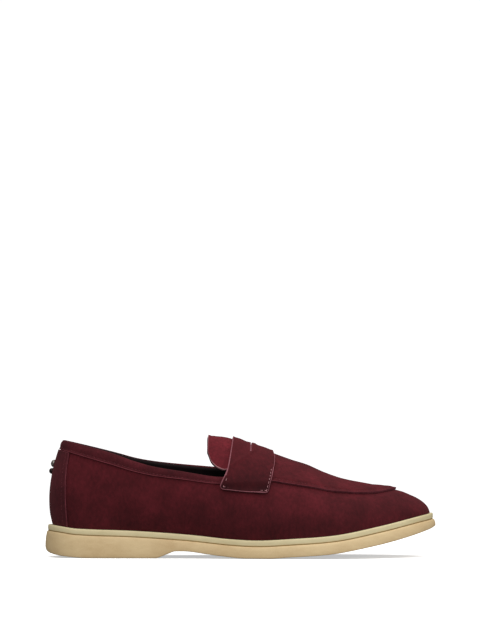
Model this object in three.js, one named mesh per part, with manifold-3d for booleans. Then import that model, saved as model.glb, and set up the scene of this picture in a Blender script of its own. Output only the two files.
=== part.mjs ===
// Penny loafer, right shoe. Millimetres, +Z up, toe towards +X, outer side towards -Y.
// The upper's layers are offset patches of one last-shaped surface, cut off along the shoe's pattern lines.
import * as THREE from 'three';
import Module from 'manifold-3d';

const wasm = await Module();
wasm.setup();

// ---- overall sizes ----
const SHOE_LENGTH = 300; // back of the sole to its toe
const BALL_WIDTH = 106; // across the sole at the ball of the foot
const HEEL_TOP_HEIGHT = 90; // ground to the top edge at the heel

// ---- layers ----
const FIT_GAP = 0.3; // clearance between pieces that touch
const WALL_THICKNESS = 1.4;
const STIFFENER_THICKNESS = 0.8; // heel counter and toe puff
const TAPE_THICKNESS = 0.4;
const LINING_THICKNESS = 0.8;
const APRON_THICKNESS = 1.6;
const BACKSTAY_THICKNESS = 1.3;
const BACKING_THICKNESS = 0.6;
const STRAP_THICKNESS = 1.2;
const BINDING_THICKNESS = 0.9;

// ---- sole ----
const WELT_THICKNESS = 4.8;
const WELT_WIDTH = 12; // across the ring, under the upper
const BOARD_THICKNESS = 2;
const PAD_THICKNESS = 3;
const SOCK_THICKNESS = 1;
const SHANK_WIDTH = 16;
const SHANK_THICKNESS = 1.6;

// ---- pattern sizes ----
const UNDERLAP = 6; // the wall runs this far under the apron
const BINDING_WIDTH = 7; // outside leg of the binding
const BINDING_INSIDE = 6; // inside leg
const TAPE_WIDTH = 10;
const SLOT_LENGTH = 36; // coin slot, across the shoe
const SLOT_WIDTH = 3.2;
const SLOT_TIP = 1; // width of the slot's narrow ends
const STUD_RADIUS = 3.0; // upper bead
const STUD_SMALL_RADIUS = 2.4; // lower bead
const STUD_SPACE = 0.5; // between the two beads
const STUD_PITCH = STUD_RADIUS + STUD_SPACE + STUD_SMALL_RADIUS;
const STUD_PROUD = 1.9; // bead's height above the backstay
const POST_RADIUS = 0.9;
const WASHER_RADIUS = 2.6;
const WASHER_THICKNESS = 0.5;

// ---- fineness of the facets ----
const FACET = 9.4; // mean length of the facets round the shoe
const AROUND = Math.ceil(SHOE_LENGTH / FACET); // stations along each side, heel to toe

// The curves below are drawn for this reference shoe and stretched to the overall sizes.
const REFERENCE = { length: 300, ballWidth: 102.5, heelTop: 90 };
const along = SHOE_LENGTH / REFERENCE.length;
const across = BALL_WIDTH / REFERENCE.ballWidth;
const up = HEEL_TOP_HEIGHT / REFERENCE.heelTop;

const { PI, cos, sin, acos, pow, hypot, max, min, sqrt, sign } = Math;
const clamp = THREE.MathUtils.clamp;
const lerp = THREE.MathUtils.lerp;
const smooth = THREE.MathUtils.smoothstep;

// Smooth curve through [t, value] points, as a function of t; it turns only at its points.
function through(points, scaleT = 1, scaleValue = 1) {
  const p = points.map(([t, value]) => [t * scaleT, value * scaleValue]);
  const last = p.length - 1;
  const slope = p.map(([, here], i) => {
    const a = p[max(i - 1, 0)];
    const b = p[min(i + 1, last)];
    const turns = i > 0 && i < last && (here - a[1]) * (b[1] - here) <= 0;
    return turns ? 0 : (b[1] - a[1]) / (b[0] - a[0]);
  });
  return (value) => {
    const x = clamp(value, p[0][0], p[last][0]);
    let i = 0;
    while (i < last - 1 && x > p[i + 1][0]) i += 1;
    const h = p[i + 1][0] - p[i][0];
    const t = (x - p[i][0]) / h;
    const back = 1 - t;
    return (
      p[i][1] * (1 + 2 * t) * back * back +
      p[i + 1][1] * (3 - 2 * t) * t * t +
      h * t * back * (slope[i] * back - slope[i + 1] * t)
    );
  };
}

// ---- sole curves: height above the ground along the shoe ----
const weltTop = through(
  [[0, 25], [12, 23.7], [26, 21.9], [70, 20.3], [111, 17.5], [140, 14.5], [162, 13.4], [185, 14.5],
    [222, 17.5], [256, 24.2], [285, 30.9], [300, 33.9]], along, up);
const soleBottom = through(
  [[0, 6.5], [2.5, 4.1], [8, 2.4], [16, 1.1], [33, 0], [60, 0], [84, 0], [88, 0.4], [95, 3.2],
    [101, 5.1], [111, 4.9], [133, 1.9], [155, 0], [170, 0], [185, 0.9], [219, 3.4], [250, 9.1],
    [272, 14.4], [294, 21], [300, 23.6]], along, up);
const groove = (x) => weltTop(x) - WELT_THICKNESS;

// ---- plan outline of the sole, as half widths about a bent middle line ----
const turn = (x) => acos(1 - (2 * x) / REFERENCE.length);
const sideWidth = (points) =>
  through([[0, 0], ...points.map(([x, w]) => [turn(x), w]), [PI, 0]], 1, across);
const halfWidth = {
  outer: sideWidth([[10, 23.7], [22, 31], [42, 34.5], [70, 35.5], [105, 38], [140, 43.5], [170, 50],
    [195, 54], [215, 54.5], [240, 51], [262, 43.5], [280, 33], [292, 21.5]]),
  inner: sideWidth([[10, 23.7], [22, 31], [42, 34], [70, 33.5], [105, 32.5], [140, 34.5], [170, 40],
    [195, 45.5], [215, 48], [240, 47], [262, 42.5], [280, 33], [292, 21.5]]),
};
const middle = through([[0, 0], [60, 0], [120, 0.5], [215, 3], [260, 5], [300, 6.5]], along, across);

// A place round the outline is a number: 0 heel, 0 to 1 the outer side, 1 toe, 1 to 2 the inner side.
const wrap = (place) => ((place % 2) + 2) % 2;
const isOuter = (place) => wrap(place) <= 1;
const share = (place) => (isOuter(place) ? wrap(place) : 2 - wrap(place));
const stationX = (place) => (SHOE_LENGTH * (1 - cos(PI * share(place)))) / 2;
const shareAtX = (x) => acos(1 - (2 * x) / SHOE_LENGTH) / PI;
const otherSide = (place) => 2 - place;

function edge(place) {
  const x = stationX(place);
  const w = isOuter(place) ? -halfWidth.outer(PI * share(place)) : halfWidth.inner(PI * share(place));
  return [x, middle(x) + w];
}

// The outline moved inwards by inset.
function rim(place, inset) {
  const step = 1e-3;
  const [x0, y0] = edge(place - step);
  const [x1, y1] = edge(place + step);
  const [x, y] = edge(place);
  const size = hypot(x1 - x0, y1 - y0);
  return [x - (inset * (y1 - y0)) / size, y + (inset * (x1 - x0)) / size];
}

// ---- the last: the outer face of the wall, carried on over the instep and up to the ankle ----
const featherInset = through([[0, 7.2], [40, 5.6], [150, 4.8], [300, 4.4]], along);
const spine = through(
  [[0, 52], [30, 62], [60, 76], [90, 96], [126, 127], [180, 180], [210, 208], [240, 230], [270, 246],
    [300, 254]], along, along);
const ridge = through(
  [[52, 150], [62, 143], [76, 128], [96, 108], [110, 99], [126, 92.4], [137, 90.2], [146, 87.3],
    [153, 84.4], [174, 77.5], [188, 72.6], [201, 68.6], [214, 62.9], [227, 58.3], [247, 53.8],
    [256, 52.4]], along, up);
const fullness = through(
  [[0, 1.88], [30, 2.1], [70, 2.7], [110, 2.6], [150, 2.1], [215, 1.95], [260, 1.95], [300, 1.85]], along);
const swell = {
  outer: through([[0, 0.08], [40, 0.09], [80, 0.17], [110, 0.17], [150, 0.1], [200, 0.03], [260, 0],
    [300, 0]], along),
  inner: through([[0, 0.08], [40, 0.1], [80, 0.22], [110, 0.26], [150, 0.16], [200, 0.05], [260, 0],
    [300, 0]], along),
};
const swellTop = through([[0, 0.54], [60, 0.7], [120, 0.9], [300, 0.9]], along);

// Point of the last: level 0 is the feather line, level 1 the ridge.
function last(place, level) {
  if (level > 1) return last(otherSide(place), 2 - level);
  const x = stationX(place);
  const [bx, by] = rim(place, featherInset(x));
  const tx = spine(x);
  const ty = middle(tx);
  const bz = weltTop(bx) + FIT_GAP;
  const n = fullness(x);
  const v = max(level, 0);
  const swollen = sin(PI * pow(min(v / swellTop(x), 1), 0.8));
  const q = pow(1 - pow(v, n), 1 / n) + (isOuter(place) ? swell.outer(x) : swell.inner(x)) * swollen;
  return new THREE.Vector3(tx + (bx - tx) * q, ty + (by - ty) * q, lerp(bz, ridge(tx), level));
}

// Below this level the layers' edges turn square to the feather line, so that they stand flat on the welt.
const FLAT_LEVEL = 0.06;

// Point at a height off the last, along its outward normal.
function off(place, level, height) {
  const step = 2e-3;
  const p = last(place, level);
  const low = level < step ? 0 : level - step;
  const du = last(place + step, level).sub(last(place - step, level));
  const dv = last(place, level + step).sub(last(place, low));
  const normal = du.cross(dv).normalize();
  const x = stationX(place);
  const inside = new THREE.Vector3(spine(x), middle(spine(x)), lerp(weltTop(x), ridge(spine(x)), 0.25));
  if (normal.dot(p.clone().sub(inside)) < 0) normal.negate();
  if (level < FLAT_LEVEL || level > 2 - FLAT_LEVEL) {
    normal.z *= (level > 1 ? 2 - level : level) / FLAT_LEVEL;
    normal.normalize();
  }
  return p.addScaledVector(normal, height);
}

// Root of a rising function on [low, high].
function solve(f, low, high) {
  let a = low;
  let b = high;
  for (let i = 0; i < 40; i += 1) {
    const m = (a + b) / 2;
    if (f(m) < 0) a = m;
    else b = m;
  }
  return (a + b) / 2;
}

// Level at which the last reaches the height that a curve gives along the shoe.
const levelAt = (place, height) =>
  solve((v) => {
    const p = last(place, v);
    return p.z - height(p.x);
  }, 0, 1);

// Level reached by going a distance up the last (down when negative).
function levelPast(place, level, distance) {
  const steps = 24;
  const step = (sign(distance) * 0.5) / steps;
  let v = level;
  let left = Math.abs(distance);
  let p = last(place, v);
  while (left > 0 && v + step < 1 && v + step > 0) {
    const q = last(place, v + step);
    const d = q.distanceTo(p);
    if (d >= left) return v + (step * left) / d;
    left -= d;
    v += step;
    p = q;
  }
  return clamp(v + step, 0, 1);
}

// Place on one side whose point at a level has a given x.
function placeAtX(x, level, outer) {
  const s = solve((t) => last(outer ? t : otherSide(t), level).x - x, 0, 1);
  return outer ? s : otherSide(s);
}

// ---- pattern lines: height along the shoe ----
const topline = {
  outer: through([[12, 89.9], [31, 85.2], [52.6, 79.2], [69, 73.4], [85, 69], [106.7, 65.5],
    [128, 62], [137, 61.4], [150, 61]], along, up),
  inner: through([[12, 89.9], [31, 85.4], [52.6, 80], [69, 75.6], [85, 73], [106.7, 70.8],
    [128, 69], [137, 68], [150, 64]], along, up),
};
const seam = through([[130, 57.6], [174, 57.2], [181, 56], [206, 52], [218, 49.7], [231, 48.5],
  [243, 48], [256, 48.8], [266, 49.8], [274, 50.4]], along, up);
const toplineAt = (place) => (isOuter(place) ? topline.outer : topline.inner);

const THROAT = { front: 150 * along, rear: 137 * along }; // the strap hides this stretch
const TONGUE_ROOT = 146 * along;
const APRON_REAR = TONGUE_ROOT + 2;
const COUNTER = { end: 72 * along, grip: 45 * along };
const seamLevel = (place) => levelAt(place, seam);

// Upper edge of the wall: under the binding behind the strap, under the apron in front of it.
function wallTop(place) {
  const x = stationX(place);
  const fold = BINDING_THICKNESS + FIT_GAP;
  const open = levelAt(place, (at) => toplineAt(place)(at) - fold);
  if (x < THROAT.rear) return open;
  const lapped = levelPast(place, seamLevel(place), UNDERLAP);
  return lerp(open, lapped, smooth(x, THROAT.rear, THROAT.front));
}

// ---- solids from rows of points ----
class Faces {
  constructor() {
    this.indices = new Map();
    this.points = [];
    this.triangles = [];
  }

  // Index of a point; the same object is the same vertex.
  at(point) {
    if (!this.indices.has(point)) {
      this.indices.set(point, this.points.length);
      this.points.push(point);
    }
    return this.indices.get(point);
  }

  triangle(a, b, c) {
    const t = [this.at(a), this.at(b), this.at(c)];
    if (new Set(t).size === 3) this.triangles.push(t);
  }

  quad(a, b, c, d) {
    this.triangle(a, b, c);
    this.triangle(a, c, d);
  }

  // Indexed geometry with its faces pointing out.
  geometry() {
    const volume = this.triangles.reduce((sum, [a, b, c]) => {
      const [p, q, r] = [this.points[a], this.points[b], this.points[c]];
      return sum + p.dot(q.clone().cross(r));
    }, 0);
    const index = this.triangles.flatMap(([a, b, c]) => (volume < 0 ? [a, c, b] : [a, b, c]));
    const made = new THREE.BufferGeometry();
    made.setAttribute('position', new THREE.Float32BufferAttribute(this.points.flatMap((p) => p.toArray()), 3));
    made.setIndex(index);
    return made;
  }
}

// Rows of [outer, inner] pairs become a closed sheet with thickness. A closed sheet joins its last row to
// its first; a tipped one closes on itself in its last row, where both of its sides meet.
function sheet(rows, { closed = false, tipped = false } = {}) {
  const f = new Faces();
  const width = rows[0].length;
  const count = closed ? rows.length : rows.length - 1;
  for (let i = 0; i < count; i += 1) {
    const a = rows[i];
    const b = rows[(i + 1) % rows.length];
    for (let k = 0; k < width - 1; k += 1) {
      f.quad(a[k][0], b[k][0], b[k + 1][0], a[k + 1][0]);
      f.quad(a[k][1], a[k + 1][1], b[k + 1][1], b[k][1]);
    }
    const z = width - 1;
    f.quad(a[0][0], a[0][1], b[0][1], b[0][0]);
    f.quad(a[z][0], b[z][0], b[z][1], a[z][1]);
  }
  const cap = (row, turned) => {
    for (let k = 0; k < width - 1; k += 1) {
      const [p, q] = turned ? [row[k + 1], row[k]] : [row[k], row[k + 1]];
      f.quad(p[0], q[0], q[1], p[1]);
    }
  };
  if (!closed) cap(rows[0], false);
  if (!closed && !tipped) cap(rows[rows.length - 1], true);
  return f.geometry();
}

// Places that every layer shares, so that facets of nested layers run parallel: evenly round the shoe, and
// at the ends of the layers.
const keyPlaces = [COUNTER.grip, COUNTER.grip + 1, COUNTER.end, THROAT.rear, THROAT.rear + 4, TONGUE_ROOT, APRON_REAR, THROAT.front]
  .map(shareAtX);
const near = 0.3 / AROUND;
const evenPlaces = Array.from({ length: AROUND + 1 }, (_, k) => k / AROUND)
  .filter((s) => keyPlaces.every((key) => Math.abs(key - s) > near));
const oneSide = [...evenPlaces, ...keyPlaces];
const sharedPlaces = [...oneSide.map((s) => -s), ...oneSide, ...oneSide.map(otherSide)];

// The shared places between two places.
function stations(from, to) {
  const inside = sharedPlaces.filter((s) => s > from + near / 5 && s < to - near / 5);
  return [from, ...new Set(inside), to].sort((a, b) => a - b);
}
const evenPlaceNear = (x) => Math.round(shareAtX(x) * AROUND) / AROUND;
const aroundHeel = (x) => stations(-shareAtX(x), shareAtX(x));

// A layer on the wall between two levels.
function band(places, from, to, columns, outer, inner, options) {
  const rows = places.map((place) => {
    const low = from(place);
    const high = to(place);
    return Array.from({ length: columns + 1 }, (_, k) => {
      const level = lerp(low, high, k / columns);
      return [off(place, level, outer), off(place, level, inner)];
    });
  });
  return sheet(rows, options);
}

// A layer that arches over the instep from an outer level to an inner one.
function arch(places, lowOuter, lowInner, columns, outer, inner) {
  const tipped = places[places.length - 1] === 1;
  const rows = places.map((place) => {
    const side = (low, sense) =>
      Array.from({ length: columns + 1 }, (_, k) => {
        const level = 1 - (1 - low) * pow(k / columns, 1.6);
        const at = sense > 0 ? 2 - level : level;
        return [off(place, at, outer), off(place, at, inner)];
      });
    const left = side(lowOuter(place), -1).reverse();
    const right = place === 1 ? [...left].reverse() : side(lowInner(otherSide(place)), 1);
    return [...left, ...right.slice(1)];
  });
  return sheet(rows, { tipped });
}

// A flat piece inside the outline: levels from bottom to top, each an inset and a height, both along the shoe.
function plate(levels, columns, from = 0, to = SHOE_LENGTH, extra = []) {
  const places = [...stations(shareAtX(from), shareAtX(to)), ...extra.map(shareAtX)].sort((a, b) => a - b);
  const spot = (place, { inset, height }) => {
    const [x, y] = rim(place, inset(stationX(place)));
    return new THREE.Vector3(x, y, height(x));
  };
  const top = levels[levels.length - 1];
  const bottom = levels[0];
  const rings = places.map((place) => {
    const tip = place === 0 || place === 1;
    const outer = levels.map((level) => spot(place, level));
    const inner = tip ? outer : levels.map((level) => spot(otherSide(place), level));
    const cross = (level, at) => {
      const a = outer[at];
      const b = inner[at];
      return Array.from({ length: columns - 1 }, (_, k) => {
        if (tip) return a;
        const p = a.clone().lerp(b, (k + 1) / columns);
        return p.setZ(level.height(p.x));
      });
    };
    return [...outer, ...cross(top, levels.length - 1), ...[...inner].reverse(), ...cross(bottom, 0).reverse()];
  });
  const f = new Faces();
  const size = rings[0].length;
  for (let i = 0; i < rings.length - 1; i += 1)
    for (let k = 0; k < size; k += 1) {
      const next = (k + 1) % size;
      f.quad(rings[i][k], rings[i][next], rings[i + 1][next], rings[i + 1][k]);
    }
  const cap = (ring, turned) => {
    const flat = ring.map((p) => new THREE.Vector2(p.y, p.z));
    const ringSense = sign(THREE.ShapeUtils.area(flat));
    THREE.ShapeUtils.triangulateShape(flat, []).forEach((t) => {
      const [a, b, c] = t.map((i) => ring[i]);
      const sense = sign(THREE.ShapeUtils.area(t.map((i) => flat[i]))) * ringSense;
      if (sense > 0 === turned) f.triangle(a, b, c);
      else f.triangle(a, c, b);
    });
  };
  if (places[0] !== 0) cap(rings[0], false);
  if (places[places.length - 1] !== 1) cap(rings[rings.length - 1], true);
  return f.geometry();
}

// ---- cuts ----
const solid = (geometry) =>
  new wasm.Manifold(new wasm.Mesh({
    numProp: 3,
    vertProperties: geometry.getAttribute('position').array,
    triVerts: new Uint32Array(geometry.getIndex().array),
  }));

// Closed geometry of a three.js shape, with its shared vertices merged.
function merged(geometry) {
  const f = new Faces();
  const seen = new Map();
  const source = (geometry.index ? geometry.toNonIndexed() : geometry).getAttribute('position');
  const corner = (i) => {
    const p = new THREE.Vector3().fromBufferAttribute(source, i);
    const key = p.toArray().map((n) => Math.round(n * 1e3)).join();
    if (!seen.has(key)) seen.set(key, p);
    return seen.get(key);
  };
  for (let i = 0; i < source.count; i += 3) f.triangle(corner(i), corner(i + 1), corner(i + 2));
  return f.geometry();
}

function cut(geometry, cutters) {
  const left = cutters.reduce((body, cutter) => body.subtract(solid(merged(cutter))), solid(geometry));
  const mesh = left.getMesh();
  const made = new THREE.BufferGeometry();
  made.setAttribute('position', new THREE.Float32BufferAttribute(mesh.vertProperties, 3));
  made.setIndex([...mesh.triVerts]);
  return made;
}

// ---- the shoe ----
const shoe = new THREE.Group();
const SUEDE = { color: 0x4b161e, roughness: 0.95, metalness: 0 };
const DARK_LINING = { color: 0x1b1214, roughness: 0.9, metalness: 0 };
const FIBRE = { color: 0xb79c74, roughness: 0.95, metalness: 0 };

function add(name, geometry, finish) {
  const facets = geometry.index ? geometry.toNonIndexed() : geometry;
  facets.computeVertexNormals();
  const mesh = new THREE.Mesh(facets, new THREE.MeshStandardMaterial(finish));
  mesh.name = name;
  shoe.add(mesh);
  return mesh;
}

const constant = (value) => () => value;
const bottomEdge = constant(0);

function addSole() {
  const HEEL_BREAST = [84, 88, 91.5, 95, 98, 101].map((x) => x * along);
  const flare = 1.6;
  const outsole = [
    { inset: constant(flare), height: soleBottom },
    { inset: constant(0.4), height: (x) => soleBottom(x) + 1.2 },
    { inset: constant(0), height: (x) => lerp(soleBottom(x), groove(x), 0.45) },
    { inset: constant(flare), height: groove },
  ];
  add('outsole', plate(outsole, 5, 0, SHOE_LENGTH, HEEL_BREAST), { color: 0xcdb58a, roughness: 0.8, metalness: 0 });

  const ringPlaces = Array.from({ length: 2 * AROUND }, (_, k) => k / AROUND);
  const weltEdge = flare + 1;
  const spot = (place, inset, height) => {
    const [x, y] = rim(place, inset);
    return new THREE.Vector3(x, y, height(x));
  };
  const seat = (x) => groove(x) + FIT_GAP;
  const ring = ringPlaces.map((place) => [
    [spot(place, weltEdge + 0.5, weltTop), spot(place, weltEdge, seat)],
    [spot(place, weltEdge + WELT_WIDTH, weltTop), spot(place, weltEdge + WELT_WIDTH, seat)],
  ]);
  add('welt', sheet(ring, { closed: true }), { color: 0xd2bf95, roughness: 0.85, metalness: 0 });

  // Inside the ring: the fillers and the shank, level with the welt's top.
  const fillerInset = constant(weltEdge + WELT_WIDTH + FIT_GAP);
  const SHANK = { rear: 55 * along, front: 160 * along };
  const shankTop = weltTop;
  const shankSeat = (x) => shankTop(x) - SHANK_THICKNESS;
  const low = (x) => shankSeat(x) - FIT_GAP;
  const joint = SHANK.front + 3;
  add('heel_filler', plate([{ inset: fillerInset, height: seat }, { inset: fillerInset, height: low }], 3, 0, joint),
    { color: 0x8a6a48, roughness: 1, metalness: 0 });
  add('forefoot_filler',
    plate([{ inset: fillerInset, height: seat }, { inset: fillerInset, height: shankTop }], 3, joint + 1),
    { color: 0x8a6a48, roughness: 1, metalness: 0 });
  const shankRows = stations(shareAtX(SHANK.rear), shareAtX(SHANK.front)).map((place) => {
    const x = stationX(place);
    return [-0.5, 0, 0.5].map((t) => {
      const y = middle(x) + t * SHANK_WIDTH;
      return [new THREE.Vector3(x, y, shankTop(x)), new THREE.Vector3(x, y, shankSeat(x))];
    });
  });
  add('shank', sheet(shankRows), { color: 0x8d9093, roughness: 0.45, metalness: 1 });
}

// Depth of each layer below the wall's outer face.
const stiffenerOut = -(WALL_THICKNESS + FIT_GAP);
const stiffenerIn = stiffenerOut - STIFFENER_THICKNESS;
const liningOut = stiffenerIn - FIT_GAP;
const liningIn = liningOut - LINING_THICKNESS;

function addInsole() {
  const inset = (room) => (x) => featherInset(x) - liningIn + room;
  const boardInset = inset(1.3);
  const boardSeat = (x) => weltTop(x) + FIT_GAP;
  const boardTop = (x) => boardSeat(x) + BOARD_THICKNESS;
  const padSeat = (x) => boardTop(x) + FIT_GAP;
  const PAD = { full: 66 * along, end: 96 * along };
  const padHeight = (x) => lerp(0.8, PAD_THICKNESS, 1 - smooth(x, PAD.full, PAD.end));
  const padTop = (x) => padSeat(x) + padHeight(x);
  const rise = (x) => (PAD_THICKNESS + FIT_GAP) * (1 - smooth(x, PAD.full, PAD.end + 12 * along)) + FIT_GAP;
  const sockSeat = (x) => boardTop(x) + max(rise(x), x < PAD.end + 2 ? padHeight(x) + 2 * FIT_GAP : 0);
  const sockTop = (x) => sockSeat(x) + SOCK_THICKNESS;
  add('insole_board', plate([{ inset: boardInset, height: boardSeat }, { inset: boardInset, height: boardTop }], 4), FIBRE);
  add('heel_pad', plate([{ inset: inset(2), height: padSeat }, { inset: inset(2), height: padTop }], 4, 0, PAD.end), { color: 0x3c3c40, roughness: 1, metalness: 0 });
  add('sock_liner', plate([{ inset: inset(2.6), height: sockSeat }, { inset: inset(2.6), height: sockTop }], 4),
    { color: 0x231815, roughness: 0.7, metalness: 0 });
}

const counterTop = through([[0, 68], [30, 62], [72, 36]], along, up);

// The two beads' seats on the heel: a point of the wall's outer face and its normal.
const STUD_LEVEL = levelAt(0, constant(70.7 * up));
function heelSpot(level) {
  const seat = off(0, level, 0);
  return { seat, normal: off(0, level, 1).sub(seat).normalize() };
}
const studs = [
  { name: 'upper', radius: STUD_RADIUS, color: 0xb9b4aa, ...heelSpot(STUD_LEVEL) },
  { name: 'lower', radius: STUD_SMALL_RADIUS, color: 0x3a3432, ...heelSpot(levelPast(0, STUD_LEVEL, -STUD_PITCH)) },
];

// A turned profile stood on the heel, its axis along the outward normal.
function turned(profile, { seat, normal }) {
  const made = new THREE.LatheGeometry(profile.map(([r, h]) => new THREE.Vector2(r, h)), 16);
  made.applyQuaternion(new THREE.Quaternion().setFromUnitVectors(new THREE.Vector3(0, 1, 0), normal));
  return made.translate(seat.x, seat.y, seat.z);
}
const bar = (radius, low, high, spot) => turned([[0, low], [radius, low], [radius, high], [0, high]], spot);

function addUpper() {
  const slit = FIT_GAP / 60; // half of the open heel seam, as a place
  const drill = studs.map((spot) => bar(POST_RADIUS + FIT_GAP, -8, 8, spot));
  const wallPlaces = stations(slit, 2 - slit);
  const wall = band(wallPlaces, bottomEdge, wallTop, 8, 0, -WALL_THICKNESS);
  add('side_wall', cut(wall, drill), SUEDE);

  const tapeBottom = (place) => levelPast(place, wallTop(place), -TAPE_WIDTH);
  add('topline_tape', band(aroundHeel(THROAT.rear), tapeBottom, wallTop, 2, stiffenerOut,
    stiffenerOut - TAPE_THICKNESS), { color: 0xd8d2c4, roughness: 0.9, metalness: 0 });

  const recess = studs.map((spot) => bar(WASHER_RADIUS + FIT_GAP, stiffenerIn - 0.6, stiffenerOut + 0.6, spot));
  const counterEdge = (place) =>
    min(levelAt(place, counterTop), levelPast(place, tapeBottom(place), -1));
  add('heel_counter', cut(band(aroundHeel(COUNTER.end), bottomEdge, counterEdge, 5, stiffenerOut, stiffenerIn), recess),
    { color: 0x9c8461, roughness: 0.9, metalness: 0 });

  const puff = stations(evenPlaceNear(242 * along), 1);
  add('toe_puff', arch(puff, bottomEdge, bottomEdge, 7, stiffenerOut, stiffenerIn),
    { color: 0x9c8461, roughness: 0.9, metalness: 0 });
  const front = stations(shareAtX(THROAT.front + 1), 1);
  add('vamp_lining', arch(front, bottomEdge, bottomEdge, 7, liningOut, liningIn), DARK_LINING);
  const quarter = stations(shareAtX(COUNTER.grip + 1), shareAtX(THROAT.front));
  add('quarter_lining_lateral', band(quarter, bottomEdge, wallTop, 7, liningOut, liningIn), DARK_LINING);
  add('quarter_lining_medial', band(quarter.map(otherSide), bottomEdge, wallTop, 7, liningOut, liningIn), DARK_LINING);
  add('heel_grip', band(aroundHeel(COUNTER.grip), bottomEdge, wallTop, 7, liningOut, liningIn), DARK_LINING);
}

// Outside leg of the binding: widest at the sides of the heel, narrow at the throat.
const bindingShare = through([[0, 0.95], [48, 1.12], [90, 0.85], [137, 0.7]], along);
const bindingLeg = (place) => BINDING_WIDTH * bindingShare(stationX(place));

function addBinding() {
  const g = FIT_GAP;
  const t = BINDING_THICKNESS;
  const places = aroundHeel(THROAT.rear + 4);
  const rows = places.map((place) => {
    const top = wallTop(place);
    const leg = bindingLeg(place);
    const spot = ([height, above]) => off(place, levelPast(place, top, above), height);
    const outFace = g + t;
    const inFace = liningIn - g - t;
    const outer = [[outFace, -leg], [outFace, -leg / 2], [outFace, -0.3], [g + 0.3 * t, g + t],
      [liningIn - g - 0.3 * t, g + t], [inFace, -0.3], [inFace, -BINDING_INSIDE / 2], [inFace, -BINDING_INSIDE]];
    const inner = [[g, -leg], [g, -leg / 2], [g, 0], [g, g], [liningIn - g, g], [liningIn - g, 0],
      [liningIn - g, -BINDING_INSIDE / 2], [liningIn - g, -BINDING_INSIDE]];
    return outer.map((at, k) => [spot(at), spot(inner[k])]);
  });
  add('topline_binding', sheet(rows), SUEDE);
}

function addBackstay() {
  const backstayFront = through([[0, 19], [0.2, 17.6], [0.35, 18.2], [0.6, 23.5]], 1, along);
  const topOf = (place) => levelPast(place, wallTop(place), -(bindingLeg(place) + 0.5));
  const seat = 1.3 * FIT_GAP; // clears the wall's facets
  const columns = 5;
  const count = 8;
  const rows = Array.from({ length: columns + 1 }, (_, k) => {
    const t = k / columns;
    const middleLevel = lerp(0, topOf(0), t);
    const reach = placeAtX(backstayFront(middleLevel), middleLevel, true);
    return Array.from({ length: 2 * count + 1 }, (__, j) => {
      const place = (reach * (j - count)) / count;
      const level = lerp(0, topOf(place), t);
      return [off(place, level, seat + BACKSTAY_THICKNESS), off(place, level, seat)];
    });
  });
  const drill = studs.map((spot) => bar(POST_RADIUS + FIT_GAP, -8, 8, spot));
  add('backstay', cut(sheet(rows), drill), { ...SUEDE, color: 0x45151f });
}

function addStuds() {
  const face = 2 * FIT_GAP + BACKSTAY_THICKNESS;
  studs.forEach((spot) => {
    const r = spot.radius;
    const dome = [0.35, 0.7, 0.92].map((t) => [r * cos((t * PI) / 2), face + 0.5 + (STUD_PROUD - 0.5) * sin((t * PI) / 2)]);
    const back = stiffenerOut - WASHER_THICKNESS - 0.2;
    const profile = [[0, back], [POST_RADIUS, back], [POST_RADIUS, face], [r, face], [r, face + 0.5], ...dome,
      [0, face + STUD_PROUD]];
    add('heel_stud_' + spot.name, merged(turned(profile, spot)), { color: spot.color, roughness: 0.35, metalness: 1 });
    const hole = POST_RADIUS + FIT_GAP;
    const washer = [[hole, stiffenerOut - WASHER_THICKNESS], [WASHER_RADIUS, stiffenerOut - WASHER_THICKNESS],
      [WASHER_RADIUS, stiffenerOut], [hole, stiffenerOut], [hole, stiffenerOut - WASHER_THICKNESS]];
    add('stud_washer_' + spot.name, merged(turned(washer, spot)), { color: 0xa98f4e, roughness: 0.4, metalness: 1 });
  });
}

// ---- apron, tongue and strap ----
const apronOut = FIT_GAP + APRON_THICKNESS;

function addApron() {
  const places = stations(shareAtX(APRON_REAR), 1);
  add('apron', arch(places, seamLevel, seamLevel, 6, apronOut, 1.3 * FIT_GAP), SUEDE);
}

// Lower edge of the tongue; its hidden root narrows so that it can swing up clear of the walls.
const tongueEdge = {
  outer: through([[124, 82], [125.4, 79], [127.4, 73.8], [129.9, 70.8], [132.6, 69], [138, 67.4], [143, 69.5],
    [150, 74]], along, up),
  inner: through([[124, 86], [125.4, 83], [127.4, 79], [129.9, 76.4], [132.6, 75], [138, 74], [143, 75],
    [150, 77]], along, up),
};

function addTongue() {
  const REAR = 125 * along;
  const xs = [0, 0.04, 0.14, 0.3, 0.5, 0.75, 1].map((t) => lerp(REAR, TONGUE_ROOT, t));
  const places = xs.map((x) => placeAtX(x, 1, true));
  const lowOuter = (place) => levelAt(place, tongueEdge.outer);
  const lowInner = (place) => levelAt(place, tongueEdge.inner);
  add('tongue', arch(places, lowOuter, lowInner, 5, apronOut, FIT_GAP), SUEDE);
  add('tongue_lining', arch(places, lowOuter, lowInner, 5, 0, -LINING_THICKNESS), DARK_LINING);
}

// Strap across the instep: its two edges as x against the share of the way up from its ends to the ridge.
const strapRear = through([[0, 133.8], [0.15, 134.8], [0.35, 138.3], [0.53, 140.5], [0.75, 142.8], [1, 145.4]], 1, along);
const strapFront = through([[0, 171], [0.14, 172], [0.34, 173.4], [0.54, 174.9], [0.73, 176.2], [0.86, 176.4],
  [1, 174.6]], 1, along);
const strapEnd = through([[0, 51.4], [0.5, 49.2], [1, 48.3]], 1, up);
const STRAP_CORNER = 0.1; // share of the strap's width that its rounded corners take
const STRAP_CORNER_RISE = 3.5;

// Height of the strap's underside: on the wall at its ends, over the apron's edge above them.
function strapSeat(place, level) {
  const p = last(place, level);
  const overApron = smooth(p.z - seam(p.x), -6.4, -1.4);
  return lerp(1.5 * FIT_GAP, apronOut + 2 * FIT_GAP, overApron);
}

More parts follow.
